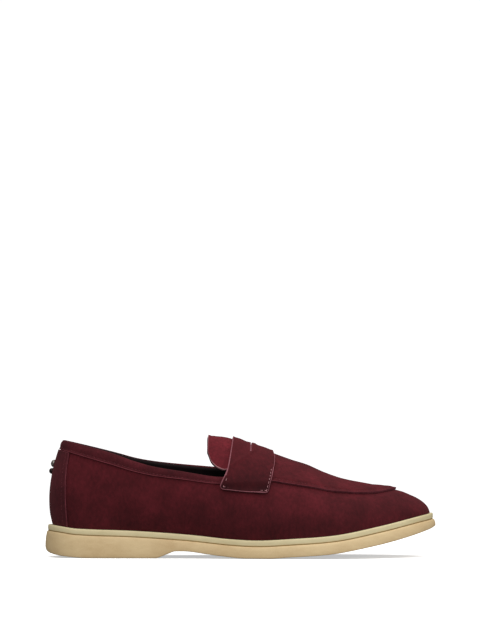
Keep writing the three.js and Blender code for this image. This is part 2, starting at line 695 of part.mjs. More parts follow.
function strapSheet(low, high, columnsAcross, columnsUp, margin) {
  const widthShares = Array.from({ length: columnsAcross + 1 }, (_, i) =>
    lerp(margin, 1 - margin, (1 - cos((PI * i) / columnsAcross)) / 2));
  const rows = widthShares.map((a) => {
    const near = min(a, 1 - a) / STRAP_CORNER;
    const lift = near < 1 ? STRAP_CORNER_RISE * (1 - sqrt(max(1 - (1 - near) ** 2, 0))) : 0;
    const foot = (outer) => {
      const x = lerp(strapRear(0.05), strapFront(0.05), a);
      let level = 0.5;
      for (let i = 0; i < 3; i += 1)
        level = levelAt(placeAtX(x, level, outer), constant(strapEnd(a) + lift + margin * 20));
      return level;
    };
    const side = (outer) => {
      const bottom = foot(outer);
      return Array.from({ length: columnsUp + 1 }, (_, k) => {
        const q = 1 - pow(k / columnsUp, 1.5);
        const level = lerp(bottom, 1, q);
        const place = placeAtX(lerp(strapRear(q), strapFront(q), a), level, outer);
        const seat = strapSeat(place, level);
        return [off(place, level, seat + high), off(place, level, seat + low)];
      });
    };
    return [...side(true).reverse(), ...side(false).slice(1)];
  });
  return sheet(rows);
}

// Coin slot: an eye-shaped prism through the strap, square to the shoe.
function slotCutter() {
  const x = 159.5 * along;
  const half = SLOT_LENGTH / 2;
  const tip = SLOT_TIP / 2;
  const bow = (4 * SLOT_WIDTH - SLOT_TIP) / 6; // puts the middle of each side at half the slot's width
  const eye = new THREE.Shape();
  eye.moveTo(-tip, -half);
  eye.lineTo(tip, -half);
  eye.bezierCurveTo(bow, -half / 3, bow, half / 3, tip, half);
  eye.lineTo(-tip, half);
  eye.bezierCurveTo(-bow, half / 3, -bow, -half / 3, -tip, -half);
  const made = new THREE.ExtrudeGeometry(eye, { depth: 60 * up, bevelEnabled: false, curveSegments: 8 });
  return made.translate(x, middle(x), 60 * up);
}

function addStrap() {
  add('strap_backing', strapSheet(0, BACKING_THICKNESS, 8, 9, 0.04), DARK_LINING);
  const low = BACKING_THICKNESS + 1.3 * FIT_GAP;
  add('penny_strap', cut(strapSheet(low, low + STRAP_THICKNESS, 8, 9, 0), [slotCutter()]), SUEDE);
}

addSole();
addInsole();
addUpper();
addBinding();
addBackstay();
addStuds();
addApron();
addTongue();
addStrap();

// Origin on the ground, at the middle of the shoe's box.
const box = new THREE.Box3().setFromObject(shoe);
const origin = box.getCenter(new THREE.Vector3());
shoe.children.forEach((mesh) => {
  mesh.position.set(-origin.x, -origin.y, -box.min.z);
});

export default shoe;
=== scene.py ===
"""Visual model of a suede penny loafer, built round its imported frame.

Lengths inside the classes are millimetres in the last's own frame: x from the back of the sole to the toe,
z up from the ground, the outer side of the foot towards -y. ``Last.metres`` takes them to the shared frame.
"""

import logging
import math
from dataclasses import dataclass, field
from enum import Enum
from typing import Callable, Iterable, Optional, Sequence

import bmesh
import bpy
import numpy as np
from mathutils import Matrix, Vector


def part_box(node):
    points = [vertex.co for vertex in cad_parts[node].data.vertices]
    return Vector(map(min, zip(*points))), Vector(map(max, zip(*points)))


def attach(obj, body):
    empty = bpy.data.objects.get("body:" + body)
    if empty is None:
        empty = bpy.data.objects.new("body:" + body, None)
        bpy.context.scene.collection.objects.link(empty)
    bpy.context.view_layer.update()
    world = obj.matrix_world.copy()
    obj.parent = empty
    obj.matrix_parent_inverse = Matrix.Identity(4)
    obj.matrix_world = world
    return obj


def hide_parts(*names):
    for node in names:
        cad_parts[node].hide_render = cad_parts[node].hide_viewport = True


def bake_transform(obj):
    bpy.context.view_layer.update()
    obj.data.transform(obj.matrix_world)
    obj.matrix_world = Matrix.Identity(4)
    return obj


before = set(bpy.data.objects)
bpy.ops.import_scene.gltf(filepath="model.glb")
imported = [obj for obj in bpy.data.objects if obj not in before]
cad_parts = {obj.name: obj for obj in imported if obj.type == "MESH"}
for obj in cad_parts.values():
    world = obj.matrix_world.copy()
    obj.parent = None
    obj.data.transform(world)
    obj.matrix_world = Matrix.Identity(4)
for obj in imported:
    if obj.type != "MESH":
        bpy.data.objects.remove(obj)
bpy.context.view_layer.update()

logging.basicConfig(level=logging.INFO, format="%(name)s: %(message)s")
LOG = logging.getLogger("loafer")

Array = np.ndarray
Curve = Callable[[Array], Array]
Point = tuple[float, float]
Colour = tuple[int, int, int]
Socket = bpy.types.NodeSocket

FIT_GAP = 0.3
WALL_THICKNESS = 1.4
APRON_THICKNESS = 1.6
BACKSTAY_THICKNESS = 1.3
BACKING_THICKNESS = 0.6
STRAP_THICKNESS = 1.2
BINDING_THICKNESS = 0.9
STIFFENER_THICKNESS = 0.8
LINING_THICKNESS = 0.8
WELT_THICKNESS = 4.8
APRON_OUT = FIT_GAP + APRON_THICKNESS
LINING_OUT = -(WALL_THICKNESS + STIFFENER_THICKNESS + 2 * FIT_GAP)
LINING_IN = LINING_OUT - LINING_THICKNESS


class Body(Enum):
    """The two moving bodies of the frame."""

    SHOE = "shoe"
    TONGUE = "tongue"


def through(points: Sequence[Point]) -> Curve:
    """Smooth curve through points that turns only at its points.

    Args:
        points: pairs of parameter and value, with the parameter rising.

    Returns:
        The curve as a function of an array of parameters, held level past its ends.
    """
    t, value = (np.array(column, dtype=float) for column in zip(*points))
    rise = np.diff(value)
    slope = np.empty_like(value)
    slope[0] = rise[0] / (t[1] - t[0])
    slope[-1] = rise[-1] / (t[-1] - t[-2])
    slope[1:-1] = (value[2:] - value[:-2]) / (t[2:] - t[:-2])
    slope[1:-1][rise[:-1] * rise[1:] <= 0] = 0.0

    def curve(at: Array) -> Array:
        """Value of the curve at each parameter."""
        x = np.clip(at, t[0], t[-1])
        i = np.clip(np.searchsorted(t, x, side="left") - 1, 0, len(t) - 2)
        h = t[i + 1] - t[i]
        s = (x - t[i]) / h
        b = 1 - s
        return (value[i] * (1 + 2 * s) * b * b + value[i + 1] * (3 - 2 * s) * s * s
                + h * s * b * (slope[i] * b - slope[i + 1] * s))

    return curve


def smooth(x: Array, low: float, high: float) -> Array:
    """Smooth step from 0 at low to 1 at high."""
    t = np.clip((np.asarray(x, dtype=float) - low) / (high - low), 0, 1)
    return t * t * (3 - 2 * t)


def bump(x: Array, centre: float, width: float) -> Array:
    """Bell of height 1 about a centre."""
    return np.exp(-(((np.asarray(x, dtype=float) - centre) / width) ** 2))


def ripple(p: Array, size: float, seed: int) -> Array:
    """Smooth unevenness between about -1 and 1 at each point, with features of a size in millimetres."""
    rng = np.random.default_rng(seed)
    total = np.zeros(p.shape[:-1])
    for _ in range(6):
        direction = rng.normal(size=3)
        direction *= 2 * math.pi / (size * rng.uniform(0.7, 1.6) * np.linalg.norm(direction))
        total += np.sin(p @ direction + rng.uniform(0, 2 * math.pi))
    return total / 3


def half_width(points: Sequence[Point], length: float) -> Curve:
    """Half width of the sole over the turn round its outline, 0 at the heel and pi at the toe."""
    turned = [(math.acos(1 - 2 * x / length), w) for x, w in points]
    return through([(0, 0), *turned, (math.pi, 0)])


@dataclass
class Last:
    """The last's surface: the outer face of the shoe's wall, carried on over the instep.

    A place goes round the outline: 0 at the heel, 0 to 1 along the outer side, 1 at the toe, 1 to 2 back
    along the inner side. A level goes from 0 at the feather line to 1 at the ridge, and past 1 down the
    other side.
    """

    length: float = 300.0
    ball_width: float = 106.0
    drawn_width: float = 102.5
    leg_swell_power: float = 0.8
    flat_level: float = 0.06
    welt_top: Curve = through([(0, 25), (12, 23.7), (26, 21.9), (70, 20.3), (111, 17.5), (140, 14.5),
                               (162, 13.4), (185, 14.5), (222, 17.5), (256, 24.2), (285, 30.9), (300, 33.9)])
    sole_bottom: Curve = through([(0, 6.5), (2.5, 4.1), (8, 2.4), (16, 1.1), (33, 0), (60, 0), (84, 0),
                                  (88, 0.4), (95, 3.2), (101, 5.1), (111, 4.9), (133, 1.9), (155, 0),
                                  (170, 0), (185, 0.9), (219, 3.4), (250, 9.1), (272, 14.4), (294, 21),
                                  (300, 23.6)])
    middle_drawn: Curve = through([(0, 0), (60, 0), (120, 0.5), (215, 3), (260, 5), (300, 6.5)])
    feather_inset: Curve = through([(0, 7.2), (40, 5.6), (150, 4.8), (300, 4.4)])
    spine: Curve = through([(0, 52), (30, 62), (60, 76), (90, 96), (126, 127), (180, 180), (210, 208),
                            (240, 230), (270, 246), (300, 254)])
    ridge: Curve = through([(52, 150), (62, 143), (76, 128), (96, 108), (110, 99), (126, 92.4), (137, 90.2),
                            (146, 87.3), (153, 84.4), (174, 77.5), (188, 72.6), (201, 68.6), (214, 62.9),
                            (227, 58.3), (247, 53.8), (256, 52.4)])
    fullness: Curve = through([(0, 1.88), (30, 2.1), (70, 2.7), (110, 2.6), (150, 2.1), (215, 1.95),
                               (260, 1.95), (300, 1.85)])
    swell_outer: Curve = through([(0, 0.08), (40, 0.09), (80, 0.17), (110, 0.17), (150, 0.1), (200, 0.03),
                                  (260, 0), (300, 0)])
    swell_inner: Curve = through([(0, 0.08), (40, 0.1), (80, 0.22), (110, 0.26), (150, 0.16), (200, 0.05),
                                  (260, 0), (300, 0)])
    swell_top: Curve = through([(0, 0.54), (60, 0.7), (120, 0.9), (300, 0.9)])
    topline_outer: Curve = through([(12, 89.9), (31, 85.2), (52.6, 79.2), (69, 73.4), (85, 69),
                                    (106.7, 65.5), (128, 62), (137, 61.4), (150, 61)])
    topline_inner: Curve = through([(12, 89.9), (31, 85.4), (52.6, 80), (69, 75.6), (85, 73), (106.7, 70.8),
                                    (128, 69), (137, 68), (150, 64)])
    seam: Curve = through([(130, 57.6), (174, 57.2), (181, 56), (206, 52), (218, 49.7), (231, 48.5),
                           (243, 48), (256, 48.8), (266, 50.5), (274, 51.5)])
    throat_rear: float = 137.0
    throat_front: float = 150.0
    underlap: float = 6.0
    shift: Array = field(default_factory=lambda: np.zeros(3))

    def __post_init__(self) -> None:
        """Draws the outline and finds where the frame keeps the last's origin."""
        self.outer_width = half_width([(10, 23.7), (22, 31), (42, 34.5), (70, 35.5), (105, 38), (140, 43.5),
                                       (170, 50), (195, 54), (215, 54.5), (240, 51), (262, 43.5), (280, 33),
                                       (292, 21.5)], self.length)
        self.inner_width = half_width([(10, 23.7), (22, 31), (42, 34), (70, 33.5), (105, 32.5), (140, 34.5),
                                       (170, 40), (195, 45.5), (215, 48), (240, 47), (262, 42.5), (280, 33),
                                       (292, 21.5)], self.length)
        low, high = (np.array(corner) * 1000 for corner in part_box("outsole"))
        sides = self.edge(np.linspace(0, 2, 801))[..., 1]
        self.shift = np.array([low[0], (low[1] + high[1] - sides.min() - sides.max()) / 2, low[2]])

    @property
    def across(self) -> float:
        """Stretch of the drawn half widths to the shoe's width."""
        return self.ball_width / self.drawn_width

    def metres(self, p: Array) -> Array:
        """Points of the last as points of the shared frame, in metres."""
        return (p + self.shift) / 1000

    def middle(self, x: Array) -> Array:
        """Middle line of the plan."""
        return self.middle_drawn(x) * self.across

    def station_x(self, place: Array) -> Array:
        """Nominal x of a place."""
        return self.length * (1 - np.cos(math.pi * np.asarray(place, dtype=float))) / 2

    def place_of_x(self, x: Array) -> Array:
        """Outer place whose nominal x is given."""
        return np.arccos(np.clip(1 - 2 * np.asarray(x, dtype=float) / self.length, -1, 1)) / math.pi

    @staticmethod
    def is_outer(place: Array) -> Array:
        """Whether each place lies on the outer side."""
        return np.mod(place, 2) <= 1

    def edge(self, place: Array) -> Array:
        """Plan point of the sole's edge at each place."""
        wrapped = np.mod(place, 2)
        share = np.where(wrapped <= 1, wrapped, 2 - wrapped)
        x = self.station_x(share)
        turn = math.pi * share
        w = np.where(wrapped <= 1, -self.outer_width(turn), self.inner_width(turn)) * self.across
        return np.stack([x, self.middle(x) + w], axis=-1)

    def rim(self, place: Array, inset: Array) -> Array:
        """Plan point of the edge moved inwards by an inset."""
        step = 1e-3
        run = self.edge(place + step) - self.edge(place - step)
        run /= np.linalg.norm(run, axis=-1, keepdims=True)
        inward = np.stack([-run[..., 1], run[..., 0]], axis=-1)
        return self.edge(place) + inward * np.asarray(inset, dtype=float)[..., None]

    def groove(self, x: Array) -> Array:
        """Height of the joint between welt and outsole."""
        return self.welt_top(x) - WELT_THICKNESS

    def point(self, place: Array, level: Array) -> Array:
        """Points of the last at places and levels."""
        place, level = np.broadcast_arrays(np.asarray(place, dtype=float), np.asarray(level, dtype=float))
        place = np.where(level > 1, 2 - place, place)
        level = np.where(level > 1, 2 - level, level)
        x = self.station_x(place)
        foot = self.rim(place, self.feather_inset(x))
        top_x = self.spine(x)
        top = np.stack([top_x, self.middle(top_x)], axis=-1)
        low = self.welt_top(foot[..., 0]) + FIT_GAP
        n = self.fullness(x)
        v = np.clip(level, 0, 1)
        swollen = np.sin(math.pi * np.minimum(v / self.swell_top(x), 1) ** self.leg_swell_power)
        swell = np.where(self.is_outer(place), self.swell_outer(x), self.swell_inner(x))
        q = (1 - v ** n) ** (1 / n) + swell * swollen
        plan = top + (foot - top) * q[..., None]
        z = low + (self.ridge(top_x) - low) * level
        return np.concatenate([plan, z[..., None]], axis=-1)

    def normal(self, place: Array, level: Array) -> Array:
        """Outward normals; near the feather line they lie flat, so that edges stand square on the welt."""
        place, level = np.broadcast_arrays(np.asarray(place, dtype=float), np.asarray(level, dtype=float))
        at_tip = (np.abs(level - 1) < 1e-3) & (np.abs(place - 1) < 1e-3)
        level = np.where(at_tip, 0.997, level)
        step = 2e-3
        along = self.point(place + step, level) - self.point(place - step, level)
        up = self.point(place, level + step) - self.point(place, np.where(level < step, 0, level - step))
        n = np.cross(along, up)
        x = self.station_x(place)
        top_x = self.spine(x)
        low = self.welt_top(x)
        heart = np.stack([top_x, self.middle(top_x), low + 0.25 * (self.ridge(top_x) - low)], axis=-1)
        n *= np.sign(np.sum(n * (self.point(place, level) - heart), axis=-1, keepdims=True))
        near = np.minimum(np.where(level > 1, 2 - level, level) / self.flat_level, 1)
        n[..., 2] *= near
        return n / np.linalg.norm(n, axis=-1, keepdims=True)

    def off(self, place: Array, level: Array, height: Array) -> Array:
        """Points at a height off the last."""
        return self.point(place, level) + self.normal(place, level) * np.asarray(height)[..., None]

    def level_at(self, place: Array, height: Curve) -> Array:
        """Level at which the last reaches the height that a curve gives along the shoe."""
        low = np.zeros_like(np.asarray(place, dtype=float))
        high = np.ones_like(low)
        for _ in range(34):
            mid = (low + high) / 2
            p = self.point(place, mid)
            under = p[..., 2] < height(p[..., 0])
            low = np.where(under, mid, low)
            high = np.where(under, high, mid)
        return (low + high) / 2

    def level_past(self, place: Array, level: Array, distance: Array) -> Array:
        """Level reached by going a distance up the last from a level, or down when it is negative."""
        place, level, distance = (np.asarray(a, dtype=float)
                                  for a in np.broadcast_arrays(place, level, distance))
        steps = np.linspace(0, 0.5, 97)
        grid = level[..., None] + np.sign(distance)[..., None] * steps
        grid = np.clip(grid, 0, 1.2)
        p = self.point(place[..., None], grid)
        run = np.concatenate([np.zeros(p.shape[:-2] + (1,)),
                              np.cumsum(np.linalg.norm(np.diff(p, axis=-2), axis=-1), axis=-1)], axis=-1)
        flat = [np.interp(abs(d), r, g)
                for d, r, g in zip(distance.ravel(), run.reshape(-1, 97), grid.reshape(-1, 97))]
        return np.array(flat).reshape(distance.shape)

    def place_at_x(self, x: Array, level: Array, outer: bool) -> Array:
        """Place on one side whose point at a level has a given x."""
        low = np.zeros_like(np.asarray(x, dtype=float) + np.asarray(level, dtype=float))
        high = np.ones_like(low)
        for _ in range(34):
            mid = (low + high) / 2
            under = self.point(mid if outer else 2 - mid, level)[..., 0] < x
            low = np.where(under, mid, low)
            high = np.where(under, high, mid)
        return (low + high) / 2 if outer else 2 - (low + high) / 2

    def seam_level(self, place: Array) -> Array:
        """Level of the apron's edge."""
        return self.level_at(place, self.seam)

    def wall_top(self, place: Array) -> Array:
        """Level of the wall's upper edge, under the binding at the rear and under the apron at the front."""
        fold = BINDING_THICKNESS + FIT_GAP
        outer = self.level_at(place, lambda x: self.topline_outer(x) - fold)
        inner = self.level_at(place, lambda x: self.topline_inner(x) - fold)
        open_edge = np.where(self.is_outer(place), outer, inner)
        lapped = self.level_past(place, self.seam_level(place), self.underlap)
        x = self.station_x(place)
        return open_edge + (lapped - open_edge) * smooth(x, self.throat_rear, self.throat_front)


# ---- finishes ----
def linear(colour: Colour) -> tuple[float, float, float, float]:
    """Scene colour of an 8-bit display colour."""
    share = np.array(colour) / 255
    value = np.where(share <= 0.04045, share / 12.92, ((share + 0.055) / 1.055) ** 2.4)
    return (*value.tolist(), 1.0)


class NodeSheet:
    """A node tree with short ways to add and join nodes."""

    def __init__(self, tree: bpy.types.NodeTree) -> None:
        """Keeps the tree that the nodes go into."""
        self.tree = tree

    def add(self, kind: str, settings: Optional[dict] = None, **inputs: object) -> bpy.types.Node:
        """Adds a node.

        Args:
            kind: type of the node.
            settings: properties of the node.
            inputs: values or sockets for its inputs; an underscore in a name stands for a space.

        Returns:
            The node.
        """
        node = self.tree.nodes.new(kind)
        for key, value in (settings or {}).items():
            setattr(node, key, value)
        for key, value in inputs.items():
            self.feed(node.inputs[key.replace("_", " ")], value)
        return node

    def feed(self, socket: Socket, value: object) -> None:
        """Joins a socket to another, or sets its value."""
        if isinstance(value, Socket):
            self.tree.links.new(value, socket)
        else:
            socket.default_value = value

    def noise(self, at: Socket, size: float, detail: float = 2.0, rough: float = 0.5) -> Socket:
        """Noise with features of a size in millimetres."""
        node = self.add("ShaderNodeTexNoise", {"noise_dimensions": "3D"}, Vector=at, Scale=1000 / size,
                        Detail=detail, Roughness=rough)
        return node.outputs["Fac"]

    def maths(self, operation: str, *values: object) -> Socket:
        """Result of a maths node on values or sockets."""
        node = self.add("ShaderNodeMath", {"operation": operation})
        for socket, value in zip(node.inputs, values):
            self.feed(socket, value)
        return node.outputs[0]

    def sum(self, *terms: tuple[Socket, float]) -> Socket:
        """Weighted sum of sockets."""
        total: object = 0.0
        for socket, weight in terms:
            total = self.maths("MULTIPLY_ADD", socket, weight, total)
        return total

    def ramp(self, value: Socket, stops: Sequence[tuple[float, Colour]]) -> Socket:
        """Colour ramp through stops."""
        node = self.add("ShaderNodeValToRGB", Fac=value)
        elements = node.color_ramp.elements
        while len(elements) < len(stops):
            elements.new(0.5)
        for element, (position, colour) in zip(elements, stops):
            element.position = position
            element.color = linear(colour)
        return node.outputs["Color"]


@dataclass(frozen=True)
class Finish:
    """A material with grain, told by its darkest and lightest colours.

    Args:
        name: name of the material.
        slot: slot of the record that it belongs to; not used.
        dark: colour of the darkest grain.
        light: colour of the lightest grain.
        grain: size of the grain in millimetres.
        roughness: roughness of the surface.
        relief: depth of the grain in millimetres.
        metallic: share of metal.
        specular: level of the plain reflection.
    """

    name: str
    slot: str
    dark: Colour
    light: Colour
    grain: float = 1.5
    roughness: float = 0.8
    relief: float = 0.03
    metallic: float = 0.0
    specular: float = 0.4

    def material(self) -> bpy.types.Material:
        """The material, made at its first use."""
        found = bpy.data.materials.get(self.name)
        return found or self.make()

    def make(self) -> bpy.types.Material:
        """Builds the material's nodes."""
        made = bpy.data.materials.new(self.name)
        made.use_nodes = True
        sheet = NodeSheet(made.node_tree)
        shader = made.node_tree.nodes["Principled BSDF"]
        shader.inputs["Roughness"].default_value = self.roughness
        shader.inputs["Metallic"].default_value = self.metallic
        shader.inputs["Specular IOR Level"].default_value = self.specular
        at = sheet.add("ShaderNodeTexCoord").outputs["Object"]
        colour, height = self.surface(sheet, at)
        sheet.feed(shader.inputs["Base Color"], colour)
        bumped = sheet.add("ShaderNodeBump", Strength=1.0, Distance=self.relief / 1000, Height=height)
        sheet.feed(shader.inputs["Normal"], bumped.outputs["Normal"])
        self.shade(shader)
        made.diffuse_color = linear(self.light)
        return made

    def surface(self, sheet: NodeSheet, at: Socket) -> tuple[Socket, Socket]:
        """Sockets of the base colour and the height."""
        fine = sheet.noise(at, self.grain, 3.0)
        broad = sheet.noise(at, self.grain * 9, 2.0)
        value = sheet.sum((fine, 0.6), (broad, 0.4))
        return sheet.ramp(value, [(0.3, self.dark), (0.7, self.light)]), fine

    def shade(self, shader: bpy.types.Node) -> None:
        """Sets what is left of the shader."""


@dataclass(frozen=True)
class Suede(Finish):
    """Napped leather: a mottled pile with brushed patches, a soft rim of light and optional painted shade
    that darkens it downwards.

    Args:
        nap: size of the mottling in millimetres.
        patch: size of the brushed patches in millimetres.
        sheen: strength of the rim of light.
        sheen_colour: colour of that light.
        painted_shade_fade: heights in millimetres between which painted shade darkens the pile downwards,
            and by how much; it stands in for less light reaching the lower parts.
    """

    roughness: float = 0.95
    specular: float = 0.2
    nap: float = 2.2
    patch: float = 16.0
    sheen: float = 0.07
    sheen_colour: Colour = (215, 105, 110)
    painted_shade_fade: tuple[float, float, float] = (20.0, 60.0, 0.0)

    def surface(self, sheet: NodeSheet, at: Socket) -> tuple[Socket, Socket]:
        """Sockets of the base colour and the height."""
        patches = sheet.noise(at, self.patch, 2.0)
        leaning = sheet.add("ShaderNodeMapping", Vector=at, Scale=(1.0, 1.0, 0.55)).outputs["Vector"]
        nap = sheet.noise(leaning, self.nap, 3.0, 0.6)
        fibre = sheet.noise(leaning, self.nap / 6, 2.0, 0.7)
        # Painted shade: the colour ramp darkens below the upper height, as if less light fell lower down.
        low, high, depth = self.painted_shade_fade
        height = sheet.add("ShaderNodeSeparateXYZ", Vector=at).outputs["Z"]
        lit = sheet.add("ShaderNodeMapRange", Value=height, From_Min=low / 1000, From_Max=high / 1000)
        value = sheet.sum((patches, 0.42), (nap, 0.38), (fibre, 0.2), (lit.outputs["Result"], depth))
        middle = tuple((np.array(self.dark) * 0.5 + np.array(self.light) * 0.5).astype(int).tolist())
        top = 0.66 + depth
        stops = [(0.34, self.dark), (0.5 + depth / 2, middle), (top, self.light)]
        colour = sheet.ramp(value, stops)
        return colour, sheet.sum((nap, 0.6), (fibre, 0.4))

    def shade(self, shader: bpy.types.Node) -> None:
        """Sets the rim of light."""
        shader.inputs["Sheen Weight"].default_value = self.sheen
        shader.inputs["Sheen Roughness"].default_value = 0.45
        shader.inputs["Sheen Tint"].default_value = linear(self.sheen_colour)


@dataclass(frozen=True)
class SuedeEdge(Suede):
    """The cut edge of napped leather, of a finer pile."""

    relief: float = 0.12
    nap: float = 1.2
    patch: float = 9.0


@dataclass(frozen=True)
class Thread(Finish):
    """Sewing thread with a fine twist across its length.

    Args:
        twist: length of a turn of the twist in millimetres.
    """

    twist: float = 0.5

    def surface(self, sheet: NodeSheet, at: Socket) -> tuple[Socket, Socket]:
        """Sockets of the base colour and the height."""
        wave = sheet.add("ShaderNodeTexWave", {"bands_direction": "DIAGONAL"}, Vector=at,
                         Scale=1000 / (self.twist * 6), Distortion=0.6).outputs["Fac"]
        return sheet.ramp(wave, [(0.2, self.dark), (0.8, self.light)]), wave


@dataclass(frozen=True)
class Rubber(Finish):
    """Moulded rubber: even, with faint clouds, scuffs and a dull gloss.

    Args:
        clouds: size of the clouds of colour in millimetres.
    """

    clouds: float = 38.0

    def surface(self, sheet: NodeSheet, at: Socket) -> tuple[Socket, Socket]:
        """Sockets of the base colour and the height."""
        drawn = sheet.add("ShaderNodeMapping", Vector=at, Scale=(0.35, 0.35, 1.0)).outputs["Vector"]
        scuffs = sheet.noise(drawn, self.grain * 2.4, 4.0, 0.6)
        clouds = sheet.noise(at, self.clouds, 2.0)
        skin = sheet.noise(at, self.grain * 0.5, 2.0)
        value = sheet.sum((clouds, 0.5), (scuffs, 0.35), (skin, 0.15))
        colour = sheet.ramp(value, [(0.32, self.dark), (0.68, self.light)])
        return colour, sheet.sum((scuffs, 0.5), (skin, 0.5))


# The wall's painted_shade_fade is painted shade: its suede darkens towards the welt, where less light falls.
WALL_SUEDE = Suede("wall suede", "suede", (50, 11, 15), (94, 26, 34), relief=0.22, painted_shade_fade=(18.0, 52.0, 0.12))
# LIT_APRON_SUEDE is a slightly lighter copy of the same suede: painted light for the toe's upper faces.
LIT_APRON_SUEDE = Suede("apron suede", "suede", (58, 13, 18), (98, 27, 35), relief=0.22)
# LIT_TONGUE_SUEDE is a lighter copy of the same suede: painted light for the tongue's upward faces, which
# catch more light.
LIT_TONGUE_SUEDE = Suede("tongue suede", "suede", (74, 17, 24), (116, 33, 42), relief=0.22)
# The strap's painted_shade_fade is strong painted shade: its lower part darkens down to its darkest colour,
# where less light falls.
STRAP_SUEDE = Suede("strap suede", "suede", (28, 4, 7), (92, 25, 32), relief=0.2, painted_shade_fade=(46.0, 80.0, 0.34))
BINDING_SUEDE = Suede("binding suede", "suede", (54, 14, 19), (90, 28, 36), relief=0.18, nap=1.7)
BACKSTAY_SUEDE = Suede("backstay suede", "suede_backstay", (54, 16, 21), (84, 29, 36), relief=0.2)
BINDING_EDGE = SuedeEdge("binding edge", "suede", (98, 40, 48), (138, 68, 76))
CUT_EDGE = SuedeEdge("cut edge", "suede", (108, 58, 66), (162, 104, 112))
DARK_EDGE = SuedeEdge("dark edge", "suede", (74, 26, 34), (120, 58, 66))
TONGUE_EDGE = SuedeEdge("tongue edge", "suede", (122, 78, 84), (178, 130, 132))
LINING = Finish("lining leather", "lining", (16, 10, 11), (32, 20, 21), grain=1.1, roughness=0.85,
                relief=0.05, specular=0.12)
SOLE_RUBBER = Rubber("sole rubber", "sole_rubber", (202, 172, 126), (228, 203, 157), grain=1.6,
                     roughness=0.62, relief=0.06)
WELT_RUBBER = Rubber("welt rubber", "welt_rubber", (208, 192, 148), (228, 214, 172), grain=1.2,
                     roughness=0.7, relief=0.06)
# GROOVE_PAINTED_SHADE is painted shade: its darker tone on the welt's tucked-under bottom stands in for
# shadow in the groove.
GROOVE_PAINTED_SHADE = Finish("groove", "welt_rubber", (162, 134, 88), (190, 164, 116), grain=2.4, roughness=0.9)
LIGHT_STUD = Finish("light stud", "stud_light", (104, 99, 94), (150, 145, 139), grain=0.8,
                    roughness=0.34, relief=0.01, metallic=1.0, specular=0.5)
DARK_STUD = Finish("dark stud", "stud_dark", (34, 28, 28), (60, 50, 48), grain=0.8, roughness=0.35,
                   relief=0.01, metallic=1.0, specular=0.5)
PINK_THREAD = Thread("pink thread", "suede", (152, 98, 104), (196, 142, 146), roughness=0.8, relief=0.05)
RED_THREAD = Thread("red thread", "suede", (76, 24, 32), (110, 44, 52), roughness=0.85, relief=0.05)
CORK = Finish("cork", "cork", (104, 74, 46), (164, 126, 84), grain=1.8, roughness=0.95, relief=0.2)
BOARD = Finish("fibre board", "board", (150, 122, 86), (192, 164, 124), grain=0.7, roughness=0.95,
               relief=0.05)
STIFFENER = Finish("stiffener", "stiffener", (132, 108, 74), (176, 150, 112), grain=0.6, roughness=0.9,
                   relief=0.05)
TAPE = Finish("woven tape", "tape", (190, 184, 170), (226, 221, 208), grain=0.5, roughness=0.95, relief=0.06)
FOAM = Finish("foam", "foam", (46, 46, 50), (74, 74, 80), grain=0.6, roughness=1.0, relief=0.15)
STEEL = Finish("shank steel", "shank_steel", (118, 120, 122), (158, 160, 164), grain=1.4, roughness=0.42,
               relief=0.01, metallic=1.0)
BRASS = Finish("washer brass", "washer_brass", (150, 122, 62), (190, 160, 92), grain=0.9, roughness=0.4,
               relief=0.01, metallic=1.0)


LAST = Last()


# ---- meshes ----
class Skin(Enum):
    """The material places of a cut panel."""

    FACE = 0
    BACK = 1
    CUT = 2


@dataclass(frozen=True)
class Skins:
    """Finishes of a panel: its face, its back and its cut edge."""

    face: Finish
    back: Finish
    cut: Finish

    def materials(self) -> list[bpy.types.Material]:
        """The three materials in the order of ``Skin``."""
        return [self.face.material(), self.back.material(), self.cut.material()]


ALL_LINING = Skins(LINING, LINING, LINING)


def mesh_object(name: str, points: Array, faces: Array, materials: Sequence[bpy.types.Material],
                groups: Optional[Array] = None, sharp_degrees: float = 45.0) -> bpy.types.Object:
    """Makes a mesh object, welded, facing outwards and smooth up to an angle.

    Args:
        name: name of the object.
        points: vertices in the last's millimetres.
        faces: four vertex numbers a face; a triangle repeats its last.
        materials: materials of the mesh.
        groups: material place of each face.
        sharp_degrees: edges that turn more than this stay sharp.

    Returns:
        The object, linked to the scene.
    """
    p = LAST.metres(points.reshape(-1, 3))
    corner = p[faces]
    volume = (np.einsum("ij,ij->i", corner[:, 0], np.cross(corner[:, 1], corner[:, 2]))
              + np.einsum("ij,ij->i", corner[:, 0], np.cross(corner[:, 2], corner[:, 3]))).sum()
    if volume < 0:
        faces = faces[:, ::-1]
    mesh = bpy.data.meshes.new(name)
    mesh.from_pydata(p.tolist(), [], [tuple(dict.fromkeys(face)) for face in faces.tolist()])
    for material in materials:
        mesh.materials.append(material)
    if groups is not None:
        mesh.polygons.foreach_set("material_index", np.asarray(groups, dtype=np.int32))
    edit = bmesh.new()
    edit.from_mesh(mesh)
    bmesh.ops.remove_doubles(edit, verts=edit.verts, dist=2e-6)
    bmesh.ops.dissolve_degenerate(edit, edges=edit.edges, dist=1e-6)
    edit.to_mesh(mesh)
    edit.free()
    mesh.shade_smooth()
    mesh.set_sharp_from_angle(angle=math.radians(sharp_degrees))
    made = bpy.data.objects.new(name, mesh)
    bpy.context.scene.collection.objects.link(made)
    LOG.info("%s: %d faces", name, len(mesh.polygons))
    return made


def quads(grid: Array) -> Array:
    """Faces of a grid of vertex numbers."""
    return np.stack([grid[:-1, :-1], grid[1:, :-1], grid[1:, 1:], grid[:-1, 1:]], axis=-1).reshape(-1, 4)


def centre_values(grid: Array) -> Array:
    """Mean of a grid's values over each of its faces."""
    return (grid[:-1, :-1] + grid[1:, :-1] + grid[1:, 1:] + grid[:-1, 1:]) / 4


